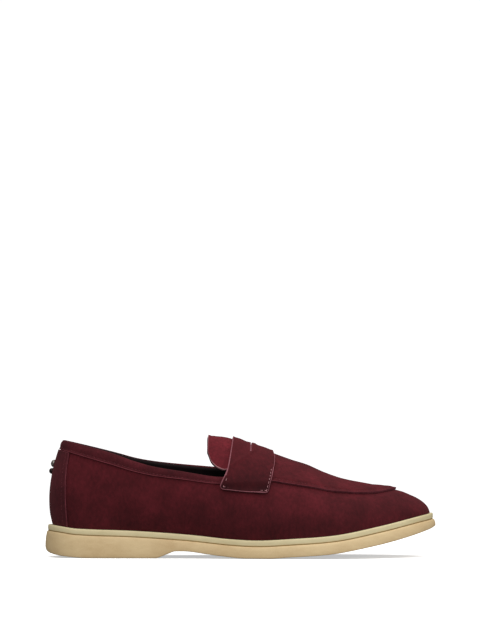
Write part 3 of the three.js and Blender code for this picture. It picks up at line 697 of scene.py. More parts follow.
def edge_distance(p: Array) -> Array:
    """Distance in millimetres of each point of a grid from the nearest of its first and last columns."""
    run = np.concatenate([np.zeros((len(p), 1)),
                          np.cumsum(np.linalg.norm(np.diff(p, axis=1), axis=-1), axis=1)], axis=1)
    return np.minimum(run, run[:, -1:] - run)


def strip(line: Array, count: int) -> Array:
    """Faces between a line of outer vertices and the inner ones that follow by a count."""
    return np.stack([line[1:], line[:-1], line[:-1] + count, line[1:] + count], axis=-1)


def add_bevel(made: bpy.types.Object, width: float) -> None:
    """Rounds the sharp edges of a panel in its cut edge's finish, by a width in millimetres."""
    modifier = made.modifiers.new("rounded edges", "BEVEL")
    modifier.limit_method = "ANGLE"
    modifier.angle_limit = math.radians(50)
    modifier.width = width / 1000
    modifier.segments = 3
    modifier.material = Skin.CUT.value


def shell(name: str, outer: Array, inner: Array, skins: Skins, closed: bool = False, tipped: bool = False,
          bevel: float = 0.35, rim: float = 0.0, lined_from: Optional[int] = None) -> bpy.types.Object:
    """Makes a sheet with thickness from two grids of points.

    Args:
        name: name of the object.
        outer: points of its face, in rows.
        inner: points of its back, in the same rows.
        skins: finishes.
        closed: whether the last row joins the first.
        tipped: whether the last row folds on itself at the toe.
        bevel: width of the rounded edges.
        rim: how far the cut edge's finish reaches onto the face.
        lined_from: column from which the face wears the finish of the back.

    Returns:
        The object.
    """
    rows, columns = outer.shape[:2]
    count = rows * columns
    grid = np.arange(count).reshape(rows, columns)
    lines = np.vstack([grid, grid[:1]]) if closed else grid
    face = quads(lines)
    sides = [strip(lines[:, 0], count), strip(lines[::-1, -1], count)]
    if not closed:
        sides.append(strip(lines[0, ::-1], count))
    if not closed and not tipped:
        sides.append(strip(lines[-1], count))
    side = np.concatenate(sides)
    faces = np.concatenate([face, face[:, ::-1] + count, side])
    near = edge_distance(outer)
    if not closed:
        along = edge_distance(outer.swapaxes(0, 1)).T
        near = np.minimum(near, np.inf if tipped else along)
    cut = centre_values(near).ravel() < rim if not closed else np.zeros(len(face), dtype=bool)
    paint = np.where(cut, Skin.CUT.value, Skin.FACE.value).reshape(len(lines) - 1, columns - 1)
    if lined_from is not None:
        paint[:, lined_from:] = Skin.BACK.value
    groups = np.concatenate([paint.ravel(),
                             np.repeat([Skin.BACK.value, Skin.CUT.value], [len(face), len(side)])])
    points = np.concatenate([outer.reshape(-1, 3), inner.reshape(-1, 3)])
    made = mesh_object(name, points, faces, skins.materials(), groups)
    if bevel:
        add_bevel(made, bevel)
    return made


def loops_object(name: str, loops: Array, materials: Sequence[bpy.types.Material],
                 groups: Optional[Array] = None, joined: bool = False) -> bpy.types.Object:
    """Makes a solid from closed loops of points, one after the other.

    Args:
        name: name of the object.
        loops: points as loops, round each loop.
        materials: materials of the mesh.
        groups: material place of each step round a loop.
        joined: whether the last loop joins the first.

    Returns:
        The object.
    """
    rows, size = loops.shape[:2]
    grid = np.arange(rows * size).reshape(rows, size)
    grid = np.hstack([grid, grid[:, :1]])
    if joined:
        grid = np.vstack([grid, grid[:1]])
    marks = np.tile(np.zeros(size, dtype=int) if groups is None else groups, len(grid) - 1)
    return mesh_object(name, loops.reshape(-1, 3), quads(grid), materials, marks)


def carry(made: bpy.types.Object, nodes: Iterable[str]) -> bpy.types.Object:
    """Hands an object to the frame: it rides on the shoe and the nodes it stands for."""
    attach(made, Body.SHOE.value)
    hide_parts(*nodes)
    return made


def sweep_lines(name: str, lines: Sequence[Array], material: bpy.types.Material, width: float,
                height: float) -> bpy.types.Object:
    """Makes rounded bars along lines that run across the sole.

    Args:
        name: name of the object.
        lines: centre lines of the bars.
        material: their material.
        width: width of a bar in millimetres.
        height: height of a bar in millimetres.

    Returns:
        One object with all bars.
    """
    turn = np.linspace(0, 2 * math.pi, 12, endpoint=False)
    section = np.stack([np.sign(np.cos(turn)) * np.abs(np.cos(turn)) ** 0.5 * width / 2,
                        np.sign(np.sin(turn)) * np.abs(np.sin(turn)) ** 0.5 * height / 2], axis=-1)
    points: list[Array] = []
    faces: list[Array] = []
    count = 0
    for line in lines:
        ends = np.ones(len(line))
        ends[0] = ends[-1] = 0.02
        size = (len(line), len(section))
        across, up = (section[None, :, axis] * ends[:, None] for axis in (0, 1))
        loops = line[:, None, :] + np.stack([across, np.zeros(size), up], axis=-1)
        grid = np.arange(size[0] * size[1]).reshape(size) + count
        faces.append(quads(np.hstack([grid, grid[:, :1]])))
        points.append(loops.reshape(-1, 3))
        count += size[0] * size[1]
    return mesh_object(name, np.concatenate(points), np.concatenate(faces), [material])


# ---- patches of the last ----
def band(places: Array, low: Array, high: Array, columns: int) -> tuple[Array, Array]:
    """Places and levels of a band between two levels at each place."""
    share = np.linspace(0, 1, columns)
    level = low[:, None] + (high - low)[:, None] * share
    return np.broadcast_to(places[:, None], level.shape), level


def arch(places: Array, low_outer: Array, low_inner: Array, columns: int) -> tuple[Array, Array]:
    """Places and levels of a panel that arches over the instep from one side to the other."""
    share = 0.5 + 0.5 * np.cos(math.pi * np.linspace(0, 1, columns))
    left = 1 - (1 - low_outer)[:, None] * share
    right = 1 + (1 - low_inner)[:, None] * share[::-1]
    level = np.concatenate([left, right[:, 1:]], axis=1)
    return np.broadcast_to(places[:, None], level.shape), level


class Assembly:
    """A group of pieces that are made together."""

    def build(self) -> None:
        """Makes the pieces."""
        raise NotImplementedError

    def dress(self) -> None:
        """Hands the pieces to the frame."""
        raise NotImplementedError


@dataclass
class Sole(Assembly):
    """Cupped outsole with a low wedge heel, and the welt on it.

    Args:
        flare: how far the outsole narrows to its top and bottom.
        welt_width: width of the welt ring.
        tread_depth: depth of the field between the outsole's ribs.
        rim: width of the plain border round that field.
        rib_pitch: distance from rib to rib.
        rib_width: width of a rib.
        rib_wave: how far a rib waves to and fro.
        wave_length: length of a wave.
        shortest: length under which a rib is left out.
        stations: places along a side.
    """

    flare: float = 1.6
    welt_width: float = 12.0
    tread_depth: float = 0.9
    rim: float = 5.0
    rib_pitch: float = 4.4
    rib_width: float = 1.9
    rib_wave: float = 1.1
    wave_length: float = 11.0
    shortest: float = 6.0
    stations: int = 260

    @staticmethod
    def side(places: Array) -> Array:
        """Points of the outsole's side at each place, from bottom to top."""
        inset = np.array([0.75, 0.32, 0.14, 0.05, 0.0, 0.0, 0.05, 0.16, 0.36, 0.68, 1.02, 1.35, 1.8])
        share = np.array([0.0, 0.01, 0.035, 0.07, 0.13, 0.22, 0.34, 0.46, 0.6, 0.76, 0.88, 0.95, 1.0])
        rim = LAST.rim(places[:, None], np.broadcast_to(inset, (len(places), len(inset))))
        x = rim[..., 0]
        low, high = LAST.sole_bottom(x), LAST.groove(x)
        z = low + (high - low) * share
        return np.concatenate([rim, z[..., None]], axis=-1)

    def cross(self, a: Array, b: Array, height: Curve, count: int, depth: float = 0.0) -> Array:
        """Points across the sole between its two sides, with a sunken field inside the rim.

        Args:
            a: points of one side.
            b: points of the other side.
            height: height along the shoe.
            count: number of points between them.
            depth: how far the field is sunk upwards.

        Returns:
            The points between the sides.
        """
        t = np.linspace(0, 1, count + 2)[1:-1]
        t = 0.5 - 0.5 * np.cos(math.pi * t)
        p = a[:, None, :] + (b - a)[:, None, :] * t[:, None]
        width = np.linalg.norm(b - a, axis=-1)[:, None]
        inside = np.minimum(t, 1 - t) * width
        along = np.minimum(p[..., 0], LAST.length - p[..., 0])
        raised = depth * smooth(np.minimum(inside, along), self.rim - 0.6, self.rim)
        raised = raised * (1 - bump(p[..., 0], 107, 14))
        p[..., 2] = height(p[..., 0]) + raised
        return p

    def build(self) -> None:
        """Makes the outsole, its ribs and the welt."""
        places = np.linspace(0, 1, self.stations)
        outer, inner = self.side(places), self.side(2 - places)
        top = self.cross(outer[:, -1], inner[:, -1], LAST.groove, 10)
        bottom = self.cross(inner[:, 0], outer[:, 0], LAST.sole_bottom, 44, self.tread_depth)
        loops = np.concatenate([outer, top, inner[:, ::-1], bottom], axis=1)
        self.outsole = loops_object("outsole_moulded", loops, [SOLE_RUBBER.material()])
        self.ribs = self.tread()
        self.welt = self.ring()

    def ring(self) -> bpy.types.Object:
        """Makes the welt: a ring with a softly rounded edge, a bead and a line of painted shade in the notch
        under it.
        """
        places = np.linspace(0, 2, 2 * self.stations, endpoint=False)
        edge = self.flare + 1.0
        inset = np.array([0.8, 0.3, 0.08, 0.0, 0.0, 0.05, 0.2, 0.55, 1.1, 1.8, self.welt_width / 2,
                          self.welt_width, self.welt_width, self.welt_width / 2]) + edge - 0.6
        share = np.array([-0.3 / WELT_THICKNESS, 0.0, 0.12, 0.3, 0.55, 0.75, 0.9, 0.985, 1.0, 1.0, 1.0, 1.0,
                          0.0, 0.0])
        rim = LAST.rim(places[:, None], np.broadcast_to(inset, (len(places), len(inset))))
        x = rim[..., 0]
        low = LAST.groove(x) + FIT_GAP
        z = low + (LAST.welt_top(x) - low) * share
        loops = np.concatenate([rim, z[..., None]], axis=-1)
        # The first two steps round the loop, on the welt's tucked-under bottom, wear the painted groove
        # shade.
        groups = np.array([1, 1, 0, 0, 0, 0, 0, 0, 0, 0, 0, 0, 0, 0])
        return loops_object("welt_ring", loops, [WELT_RUBBER.material(), GROOVE_PAINTED_SHADE.material()], groups,
                            joined=True)

    def tread(self) -> bpy.types.Object:
        """Makes the ribs of the outsole: waved bars across the sunken fields at heel and forefoot."""
        lines: list[Array] = []
        for start, end in ((9.0, 80.0), (136.0, 290.0)):
            for x in np.arange(start, end, self.rib_pitch):
                place = LAST.place_of_x(np.array([x]))
                a, b = (LAST.rim(side, np.array([self.flare + self.rim]))[0] for side in (place, 2 - place))
                if b[1] - a[1] < self.shortest:
                    continue
                t = np.linspace(0, 1, max(int((b[1] - a[1]) / 0.9), 6))
                y = a[1] + (b[1] - a[1]) * t
                at_x = x + self.rib_wave * np.sin(y * 2 * math.pi / self.wave_length)
                z = LAST.sole_bottom(at_x) + self.tread_depth * 0.5
                lines.append(np.stack([at_x, y, z], axis=-1))
        return sweep_lines("outsole_ribs", lines, SOLE_RUBBER.material(), width=self.rib_width,
                           height=self.tread_depth * 0.98)

    def dress(self) -> None:
        """Hands the sole to the frame."""
        carry(self.outsole, ["outsole"])
        carry(self.ribs, [])
        carry(self.welt, ["welt"])


@dataclass
class Lining(Assembly):
    """The lining leathers inside the shoe and the sock liner.

    Args:
        grip_end: where the heel grip meets the quarter linings.
        joint: gap between them.
        sock_gap: gap between the sock liner and the wall's lining.
        board: thickness of the insole board under the sock liner.
        parts: the pieces made so far, each with its node.
    """

    grip_end: float = 45.0
    joint: float = 0.1
    sock_gap: float = 1.7
    board: float = 2.0
    parts: list[tuple[bpy.types.Object, str]] = field(default_factory=list)

    def wall_patch(self, name: str, places: Array, high: Array) -> None:
        """Makes a lining on the wall from the feather line to a level."""
        place, level = band(places, np.zeros_like(places), high, 26)
        crease = 0.12 * ripple(LAST.point(place, level), 26, 31)
        outer, inner = (LAST.off(place, level, np.full(level.shape, h) + crease * k)
                        for h, k in ((LINING_OUT, 0), (LINING_IN, 1)))
        self.parts.append((shell(name + "_leather", outer, inner, ALL_LINING, bevel=0.2), name))

    def build(self) -> None:
        """Makes the linings."""
        grip, rear, front, vamp = LAST.place_of_x(np.array([
            self.grip_end, self.grip_end + self.joint, LAST.throat_front, LAST.throat_front + 1]))
        around = np.linspace(-grip, grip, 160)
        self.wall_patch("heel_grip", around, LAST.wall_top(around))
        quarter = np.linspace(rear, front, 120)
        self.wall_patch("quarter_lining_lateral", quarter, LAST.wall_top(quarter))
        self.wall_patch("quarter_lining_medial", 2 - quarter, LAST.wall_top(2 - quarter))
        places = np.linspace(vamp, 1, 120)
        place, level = arch(places, np.zeros_like(places), np.zeros_like(places), 40)
        outer, inner = (LAST.off(place, level, np.full(level.shape, h)) for h in (LINING_OUT, LINING_IN))
        made = shell("vamp_lining_leather", outer, inner, ALL_LINING, tipped=True, bevel=0)
        self.parts.append((made, "vamp_lining"))
        self.parts.append((self.sock(), "sock_liner"))

    def sock(self) -> bpy.types.Object:
        """Makes the sock liner, cupped a little towards its edge."""
        places = np.linspace(0, 1, 180)
        x = LAST.station_x(places)
        inset = LAST.feather_inset(x) - LINING_IN + self.sock_gap
        a, b = LAST.rim(places, inset), LAST.rim(2 - places, inset)
        t = np.linspace(0, 1, 36)
        plan = a[:, None] + (b - a)[:, None] * t[:, None]
        along = plan[..., 0]
        board = LAST.welt_top(along) + FIT_GAP + self.board
        pad = np.where(along < 98, 0.8 + 2.2 * (1 - smooth(along, 66, 96)) + 2 * FIT_GAP, 0)
        rise = (3 + FIT_GAP) * (1 - smooth(along, 66, 108)) + FIT_GAP
        seat = board + np.maximum(pad, rise)
        width = np.linalg.norm(b - a, axis=-1)[:, None]
        near = np.minimum(t, 1 - t) * width
        lift = 0.5 * (1 - smooth(near, 0, 9))
        outer = np.concatenate([plan, (seat + 1 + lift)[..., None]], axis=-1)
        inner = np.concatenate([plan, (seat + lift * 0.6)[..., None]], axis=-1)
        return shell("sock_liner_leather", outer, inner, ALL_LINING, bevel=0.25)

    def dress(self) -> None:
        """Hands the linings to the frame."""
        for made, node in self.parts:
            carry(made, [node])


@dataclass
class Quarters(Assembly):
    """The suede wall round the shoe, its binding along the top line and the backstay on the heel.

    Args:
        binding_width: width of the binding's outside leg where its share is 1.
        binding_inside: width of the inside leg.
    """

    binding_width: float = 7.0
    binding_inside: float = 6.0

    def __post_init__(self) -> None:
        """Draws the pattern lines."""
        self.binding_share = through([(0, 0.95), (48, 1.12), (90, 0.85), (137, 0.7)])
        self.backstay_front = through([(0, 19), (0.2, 17.6), (0.35, 18.2), (0.6, 23.5)])

    def leg(self, place: Array) -> Array:
        """Width of the binding's outside leg."""
        share = np.abs(np.mod(np.asarray(place) + 1, 2) - 1)
        return self.binding_width * self.binding_share(LAST.station_x(share))

    def build(self) -> None:
        """Makes the wall, the binding and the backstay."""
        self.wall = self.make_wall()
        self.binding = self.make_binding()
        self.backstay = self.make_backstay()

    def wall_height(self, p: Array, level: Array, high: Array) -> Array:
        """Unevenness of the wall's face, none where other pieces lie on it."""
        away = smooth(level, 0, 0.12) * (1 - smooth(level, high - 0.24, high - 0.1))
        behind = smooth(p[..., 0], 24, 40)
        under_strap = 1 - bump(p[..., 0], 154, 30)
        waves = 0.34 * ripple(p, 52, 7) + 0.16 * ripple(p, 21, 8)
        flex = 0.25 * bump(p[..., 0], 205, 16) * np.sin((p[..., 0] - 205) * 0.42) * bump(level, 0.35, 0.3)
        return (waves + flex) * away * behind * (0.35 + 0.65 * under_strap)

    def make_wall(self) -> bpy.types.Object:
        """Makes the suede wall."""
        slit = FIT_GAP / 60
        places = np.linspace(slit, 2 - slit, 560)
        high = LAST.wall_top(places)
        place, level = band(places, np.zeros_like(places), high, 44)
        lift = self.wall_height(LAST.point(place, level), level, high[:, None])
        outer = LAST.off(place, level, lift)
        inner = LAST.off(place, level, np.full(level.shape, -WALL_THICKNESS))
        return shell("side_wall_suede", outer, inner, Skins(WALL_SUEDE, LINING, DARK_EDGE), bevel=0.3)

    @staticmethod
    def binding_fold() -> tuple[Array, Array]:
        """Face and back of the fold, outside to inside: heights off the last, and above the wall's edge."""
        turn = np.linspace(0, math.pi, 21)
        middle, sink = LINING_IN / 2, 0.9
        reach = FIT_GAP + BINDING_THICKNESS - middle

        def fold(wide: float, tall: float, power: float) -> Array:
            """Rounded arch over the top line, squarer with a higher power."""
            c, s = np.cos(turn), np.sin(turn)
            return np.stack([middle + wide * np.sign(c) * np.abs(c) ** (2 / power),
                             -sink + (sink + tall) * s ** (2 / power)], axis=-1)

        return fold(reach, FIT_GAP + BINDING_THICKNESS, 2.6), fold(reach - BINDING_THICKNESS, FIT_GAP, 7.0)

    def make_binding(self) -> bpy.types.Object:
        """Makes the binding: two legs and a padded fold over the top line."""
        end = LAST.place_of_x(np.array(LAST.throat_rear + 4))
        places = np.linspace(-end, end, 460)
        top = LAST.wall_top(places)
        leg = self.leg(places)
        outer_fold, inner_fold = self.binding_fold()
        down = np.linspace(1, 0.14, 16)
        out = [(FIT_GAP + BINDING_THICKNESS + self.leg_puff(s), FIT_GAP, -s * leg) for s in down]
        inside = [(LINING_IN - FIT_GAP - BINDING_THICKNESS, LINING_IN - FIT_GAP,
                   np.full_like(leg, -s * self.binding_inside)) for s in np.linspace(0.2, 1, 8)]
        outer, inner = [], []
        for face, back, above in out:
            level = LAST.level_past(places, top, above)
            wave = 0.1 * ripple(LAST.point(places, level), 17, 12)
            outer.append(LAST.off(places, level, np.full_like(level, face) + wave))
            inner.append(LAST.off(places, level, np.full_like(level, back)))
        for (height, above), (height_in, above_in) in zip(outer_fold, inner_fold):
            outer.append(LAST.off(places, LAST.level_past(places, top, np.full_like(top, above)),
                                  np.full_like(top, height)))
            inner.append(LAST.off(places, LAST.level_past(places, top, np.full_like(top, above_in)),
                                  np.full_like(top, height_in)))
        for face, back, above in inside:
            level = LAST.level_past(places, top, above)
            outer.append(LAST.off(places, level, np.full_like(level, face)))
            inner.append(LAST.off(places, level, np.full_like(level, back)))
        skins = Skins(BINDING_SUEDE, LINING, BINDING_EDGE)
        return shell("topline_binding_suede", np.stack(outer, axis=1), np.stack(inner, axis=1), skins,
                     bevel=0.3, rim=0.4, lined_from=len(down) + 11)

    @staticmethod
    def leg_puff(share: float) -> float:
        """Height of the leg's padding at a share of its width from the fold: it dips along the seam."""
        padding = 0.35 * math.sin(math.pi * min(share / 0.72, 1))
        return padding + 0.18 * float(bump(share, 0.93, 0.07)) - 0.12 * float(bump(share, 0.78, 0.06))

    def backstay_top(self, place: Array) -> Array:
        """Level of the backstay's upper edge."""
        return LAST.level_past(place, LAST.wall_top(place), -(self.leg(place) + 0.5))

    def backstay_grid(self, across: Array, height: Array) -> tuple[Array, Array]:
        """Places and levels of the backstay at shares of its half width and of its height."""
        middle_level = self.backstay_top(np.zeros(1))[0] * height
        reach = LAST.place_at_x(self.backstay_front(middle_level), middle_level, True)
        place = reach[:, None] * across
        level = self.backstay_top(place) * height[:, None]
        return place, level

    def make_backstay(self) -> bpy.types.Object:
        """Makes the backstay over the heel seam."""
        place, level = self.backstay_grid(np.linspace(-1, 1, 71), np.linspace(0, 1, 60))
        near = 1 - np.abs(place) / np.abs(place).max(axis=1, keepdims=True)
        puff = 0.22 * smooth(near, 0.12, 0.4) - 0.16 * bump(near, 0.13, 0.03)
        puff = puff * smooth(level, 0.02, 0.08)
        outer = LAST.off(place, level, FIT_GAP + BACKSTAY_THICKNESS + puff)
        inner = LAST.off(place, level, np.full(level.shape, FIT_GAP))
        return shell("backstay_suede", outer, inner, Skins(BACKSTAY_SUEDE, LINING, DARK_EDGE), bevel=0.35)

    def seams(self) -> list[Array]:
        """Stitch lines of the binding and the backstay."""
        end = LAST.place_of_x(np.array(LAST.throat_rear - 1))
        places = np.linspace(-end, end, 500)
        top, leg = LAST.wall_top(places), self.leg(places)
        level = LAST.level_past(places, top, -0.78 * leg)
        height = FIT_GAP + BINDING_THICKNESS + 0.02
        lines = [LAST.off(places, level, np.full_like(level, height))]
        for sense in (-1, 1):
            place, level = self.backstay_grid(np.array([0.87 * sense]), np.linspace(0.03, 0.97, 90))
            height = np.full(level.shape, FIT_GAP + BACKSTAY_THICKNESS - 0.1)
            lines.append(LAST.off(place, level, height)[:, 0])
        return lines

    def dress(self) -> None:
        """Hands the quarters to the frame."""
        carry(self.wall, ["side_wall"])
        carry(self.binding, ["topline_binding"])
        carry(self.backstay, ["backstay"])


@dataclass
class Studs(Assembly):
    """The two metal beads on the heel.

    Args:
        height: height of the upper bead above the ground.
        pitch: distance from bead to bead.
        proud: how far a bead stands off the backstay.
        radii: radius of the upper and of the lower bead.
    """

    height: float = 70.7
    pitch: float = 5.9
    proud: float = 2.5
    radii: tuple[float, float] = (3.0, 2.4)

    def build(self) -> None:
        """Makes the beads with their posts."""
        level = LAST.level_at(np.zeros(1), lambda x: np.full_like(x, self.height))
        lower = LAST.level_past(np.zeros(1), level, np.array([-self.pitch]))
        self.upper = self.bead("heel_stud_upper_bead", level, self.radii[0], LIGHT_STUD)
        self.lower = self.bead("heel_stud_lower_bead", lower, self.radii[1], DARK_STUD)

    def bead(self, name: str, level: Array, radius: float, finish: Finish) -> bpy.types.Object:
        """Makes a bead: a post, a rolled flange and a dome.

        Args:
            name: name of the object.
            level: level of its centre on the heel.
            radius: radius of the flange.
            finish: its metal.

        Returns:
            The object.
        """
        seat = LAST.point(np.zeros(1), level)[0]
        axis = LAST.normal(np.zeros(1), level)[0]
        face = 2 * FIT_GAP + BACKSTAY_THICKNESS
        turn = np.linspace(0, math.pi / 2, 14)
        dome = [(radius * 0.92 * math.cos(a), face + 0.55 + (self.proud - 0.55) * math.sin(a)) for a in turn]
        flange = [(radius * 0.94, face), (radius * 0.99, face + 0.08), (radius, face + 0.25),
                  (radius * 0.99, face + 0.42), (radius * 0.95, face + 0.5)]
        back = -(WALL_THICKNESS + FIT_GAP + 0.7)
        profile = np.array([(0.0, back), (0.9, back), (0.9, face), *flange, *dome])
        around = np.linspace(0, 2 * math.pi, 48, endpoint=False)
        u = np.cross(axis, [0, 1, 0])
        u /= np.linalg.norm(u)
        v = np.cross(axis, u)
        spoke = np.cos(around)[:, None] * u + np.sin(around)[:, None] * v
        loops = seat + spoke[None] * profile[:, 0, None, None] + axis * profile[:, 1, None, None]
        return loops_object(name, loops, [finish.material()])

    def dress(self) -> None:
        """Hands the beads to the frame."""
        carry(self.upper, ["heel_stud_upper"])
        carry(self.lower, ["heel_stud_lower"])


@dataclass
class Apron(Assembly):
    """The moccasin's plate over the toes, lapped on the wall.

    Args:
        rear: where its hidden rear edge lies along the shoe.
        stitched_from: where its seam comes out from under the strap.
        stitch_inset: distance of the seam from the edge.
    """

    rear: float = 148.0
    stitched_from: float = 176.0
    stitch_inset: float = 2.3

    def build(self) -> None:
        """Makes the apron."""
        places = np.linspace(LAST.place_of_x(np.array(self.rear)), 1, 230)
        place, level = arch(places, LAST.seam_level(places), LAST.seam_level(2 - places), 56)
        p = LAST.point(place, level)
        near = edge_distance(p)
        away = smooth(near, 3.5, 14)
        lift = (0.3 * ripple(p, 44, 3) + 0.14 * ripple(p, 18, 4)) * away
        lift = lift + 0.3 * bump(near, 5.2, 2.6) - 0.22 * bump(near, 2.3, 0.8)
        lift = lift * smooth(p[..., 0], 158, 178) + self.toe_roll(p, near)
        outer = LAST.off(place, level, APRON_OUT + lift)
        inner = LAST.off(place, level, np.full(level.shape, 1.3 * FIT_GAP))
        # The apron's face wears the lighter suede copy, which is painted light.
        skins = Skins(LIT_APRON_SUEDE, LINING, DARK_EDGE)
        self.plate = shell("apron_suede", outer, inner, skins, tipped=True, bevel=0.35, rim=0.35)

    @staticmethod
    def toe_roll(p: Array, near: Array) -> Array:
        """Fullness of the apron's lip round the toe."""
        return 0.15 * smooth(p[..., 0], 225, 262) * bump(near, 1.6, 1.8)

    def seam(self) -> Array:
        """Stitch line inside the apron's edge, along both sides and round the toe."""
        side = np.linspace(LAST.place_of_x(np.array(self.stitched_from)), 0.9995, 420)
        lines = []
        for places in (side, 2 - side):
            level = LAST.level_past(places, LAST.seam_level(places), np.full_like(places, self.stitch_inset))
            lines.append(LAST.off(places, level, np.full_like(level, APRON_OUT - 0.12)))
        return np.concatenate([lines[0], lines[1][::-1]])

    def dress(self) -> None:
        """Hands the apron to the frame."""
        carry(self.plate, ["apron"])


@dataclass
class Tongue(Assembly):
    """The tongue behind the strap, from its hidden root to its free end, which sags a little.

    Args:
        rear: where its free end lies along the shoe.
        root: where its hidden end lies.
        dip: how far the free end sags.
        bend: where the bend starts and ends; not used.
    """

    rear: float = 125.0
    root: float = 146.0
    dip: float = 1.2
    bend: tuple[float, float] = (139.5, 127.0)

    def __post_init__(self) -> None:
        """Draws the lower edges."""
        self.low_outer = through([(124, 82), (125.4, 78.6), (127.4, 73.2), (129.9, 70), (132.6, 67.9),
                                  (138, 65.9), (143, 68), (150, 73)])
        self.low_inner = through([(124, 86), (125.4, 83), (127.4, 79), (129.9, 76.4), (132.6, 75), (138, 74),
                                  (143, 75), (150, 77)])

    def build(self) -> None:
        """Makes the tongue and its lining."""
        share = np.linspace(0, 1, 70) ** 1.5
        x = self.rear + (self.root - self.rear) * share
        places = LAST.place_at_x(x, np.ones_like(x), True)
        low = LAST.level_at(places, self.low_outer), LAST.level_at(places, self.low_inner)
        place, level = arch(places, *low, 44)
        p = LAST.point(place, level)
        rear = p[..., 0] - self.rear
        lift = 0.22 * ripple(p, 24, 17) * smooth(edge_distance(p), 2, 9) * (1 - smooth(p[..., 0], 128, 138))
        lift = lift - 0.16 * bump(rear, 2.4, 0.7) + 0.12 * bump(rear, 4.6, 1.6)
        lift = lift * (1 - smooth(p[..., 0], 131, 136))
        dip = self.dip * (1 - smooth(p[..., 0], self.rear, self.root))
        outer = LAST.off(place, level, APRON_OUT + lift - dip)
        inner = LAST.off(place, level, FIT_GAP - dip)
        # The tongue's face wears the lighter suede copy, which is painted light.
        self.flap = shell("tongue_suede", outer, inner, Skins(LIT_TONGUE_SUEDE, LINING, TONGUE_EDGE), bevel=0.42,
                          rim=0.5)
        outer, inner = (LAST.off(place, level, h - dip) for h in (0.0, -LINING_THICKNESS))
        self.lining = shell("tongue_lining_leather", outer, inner, ALL_LINING, bevel=0.2)

    def dress(self) -> None:
        """Bakes the tongue's and its lining's placement into their meshes and hides the frame's tongue
        parts.
        """
        for made, slot, node in ((self.flap, "suede", "tongue"), (self.lining, "lining", "tongue_lining")):
            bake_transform(made)
            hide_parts(node)


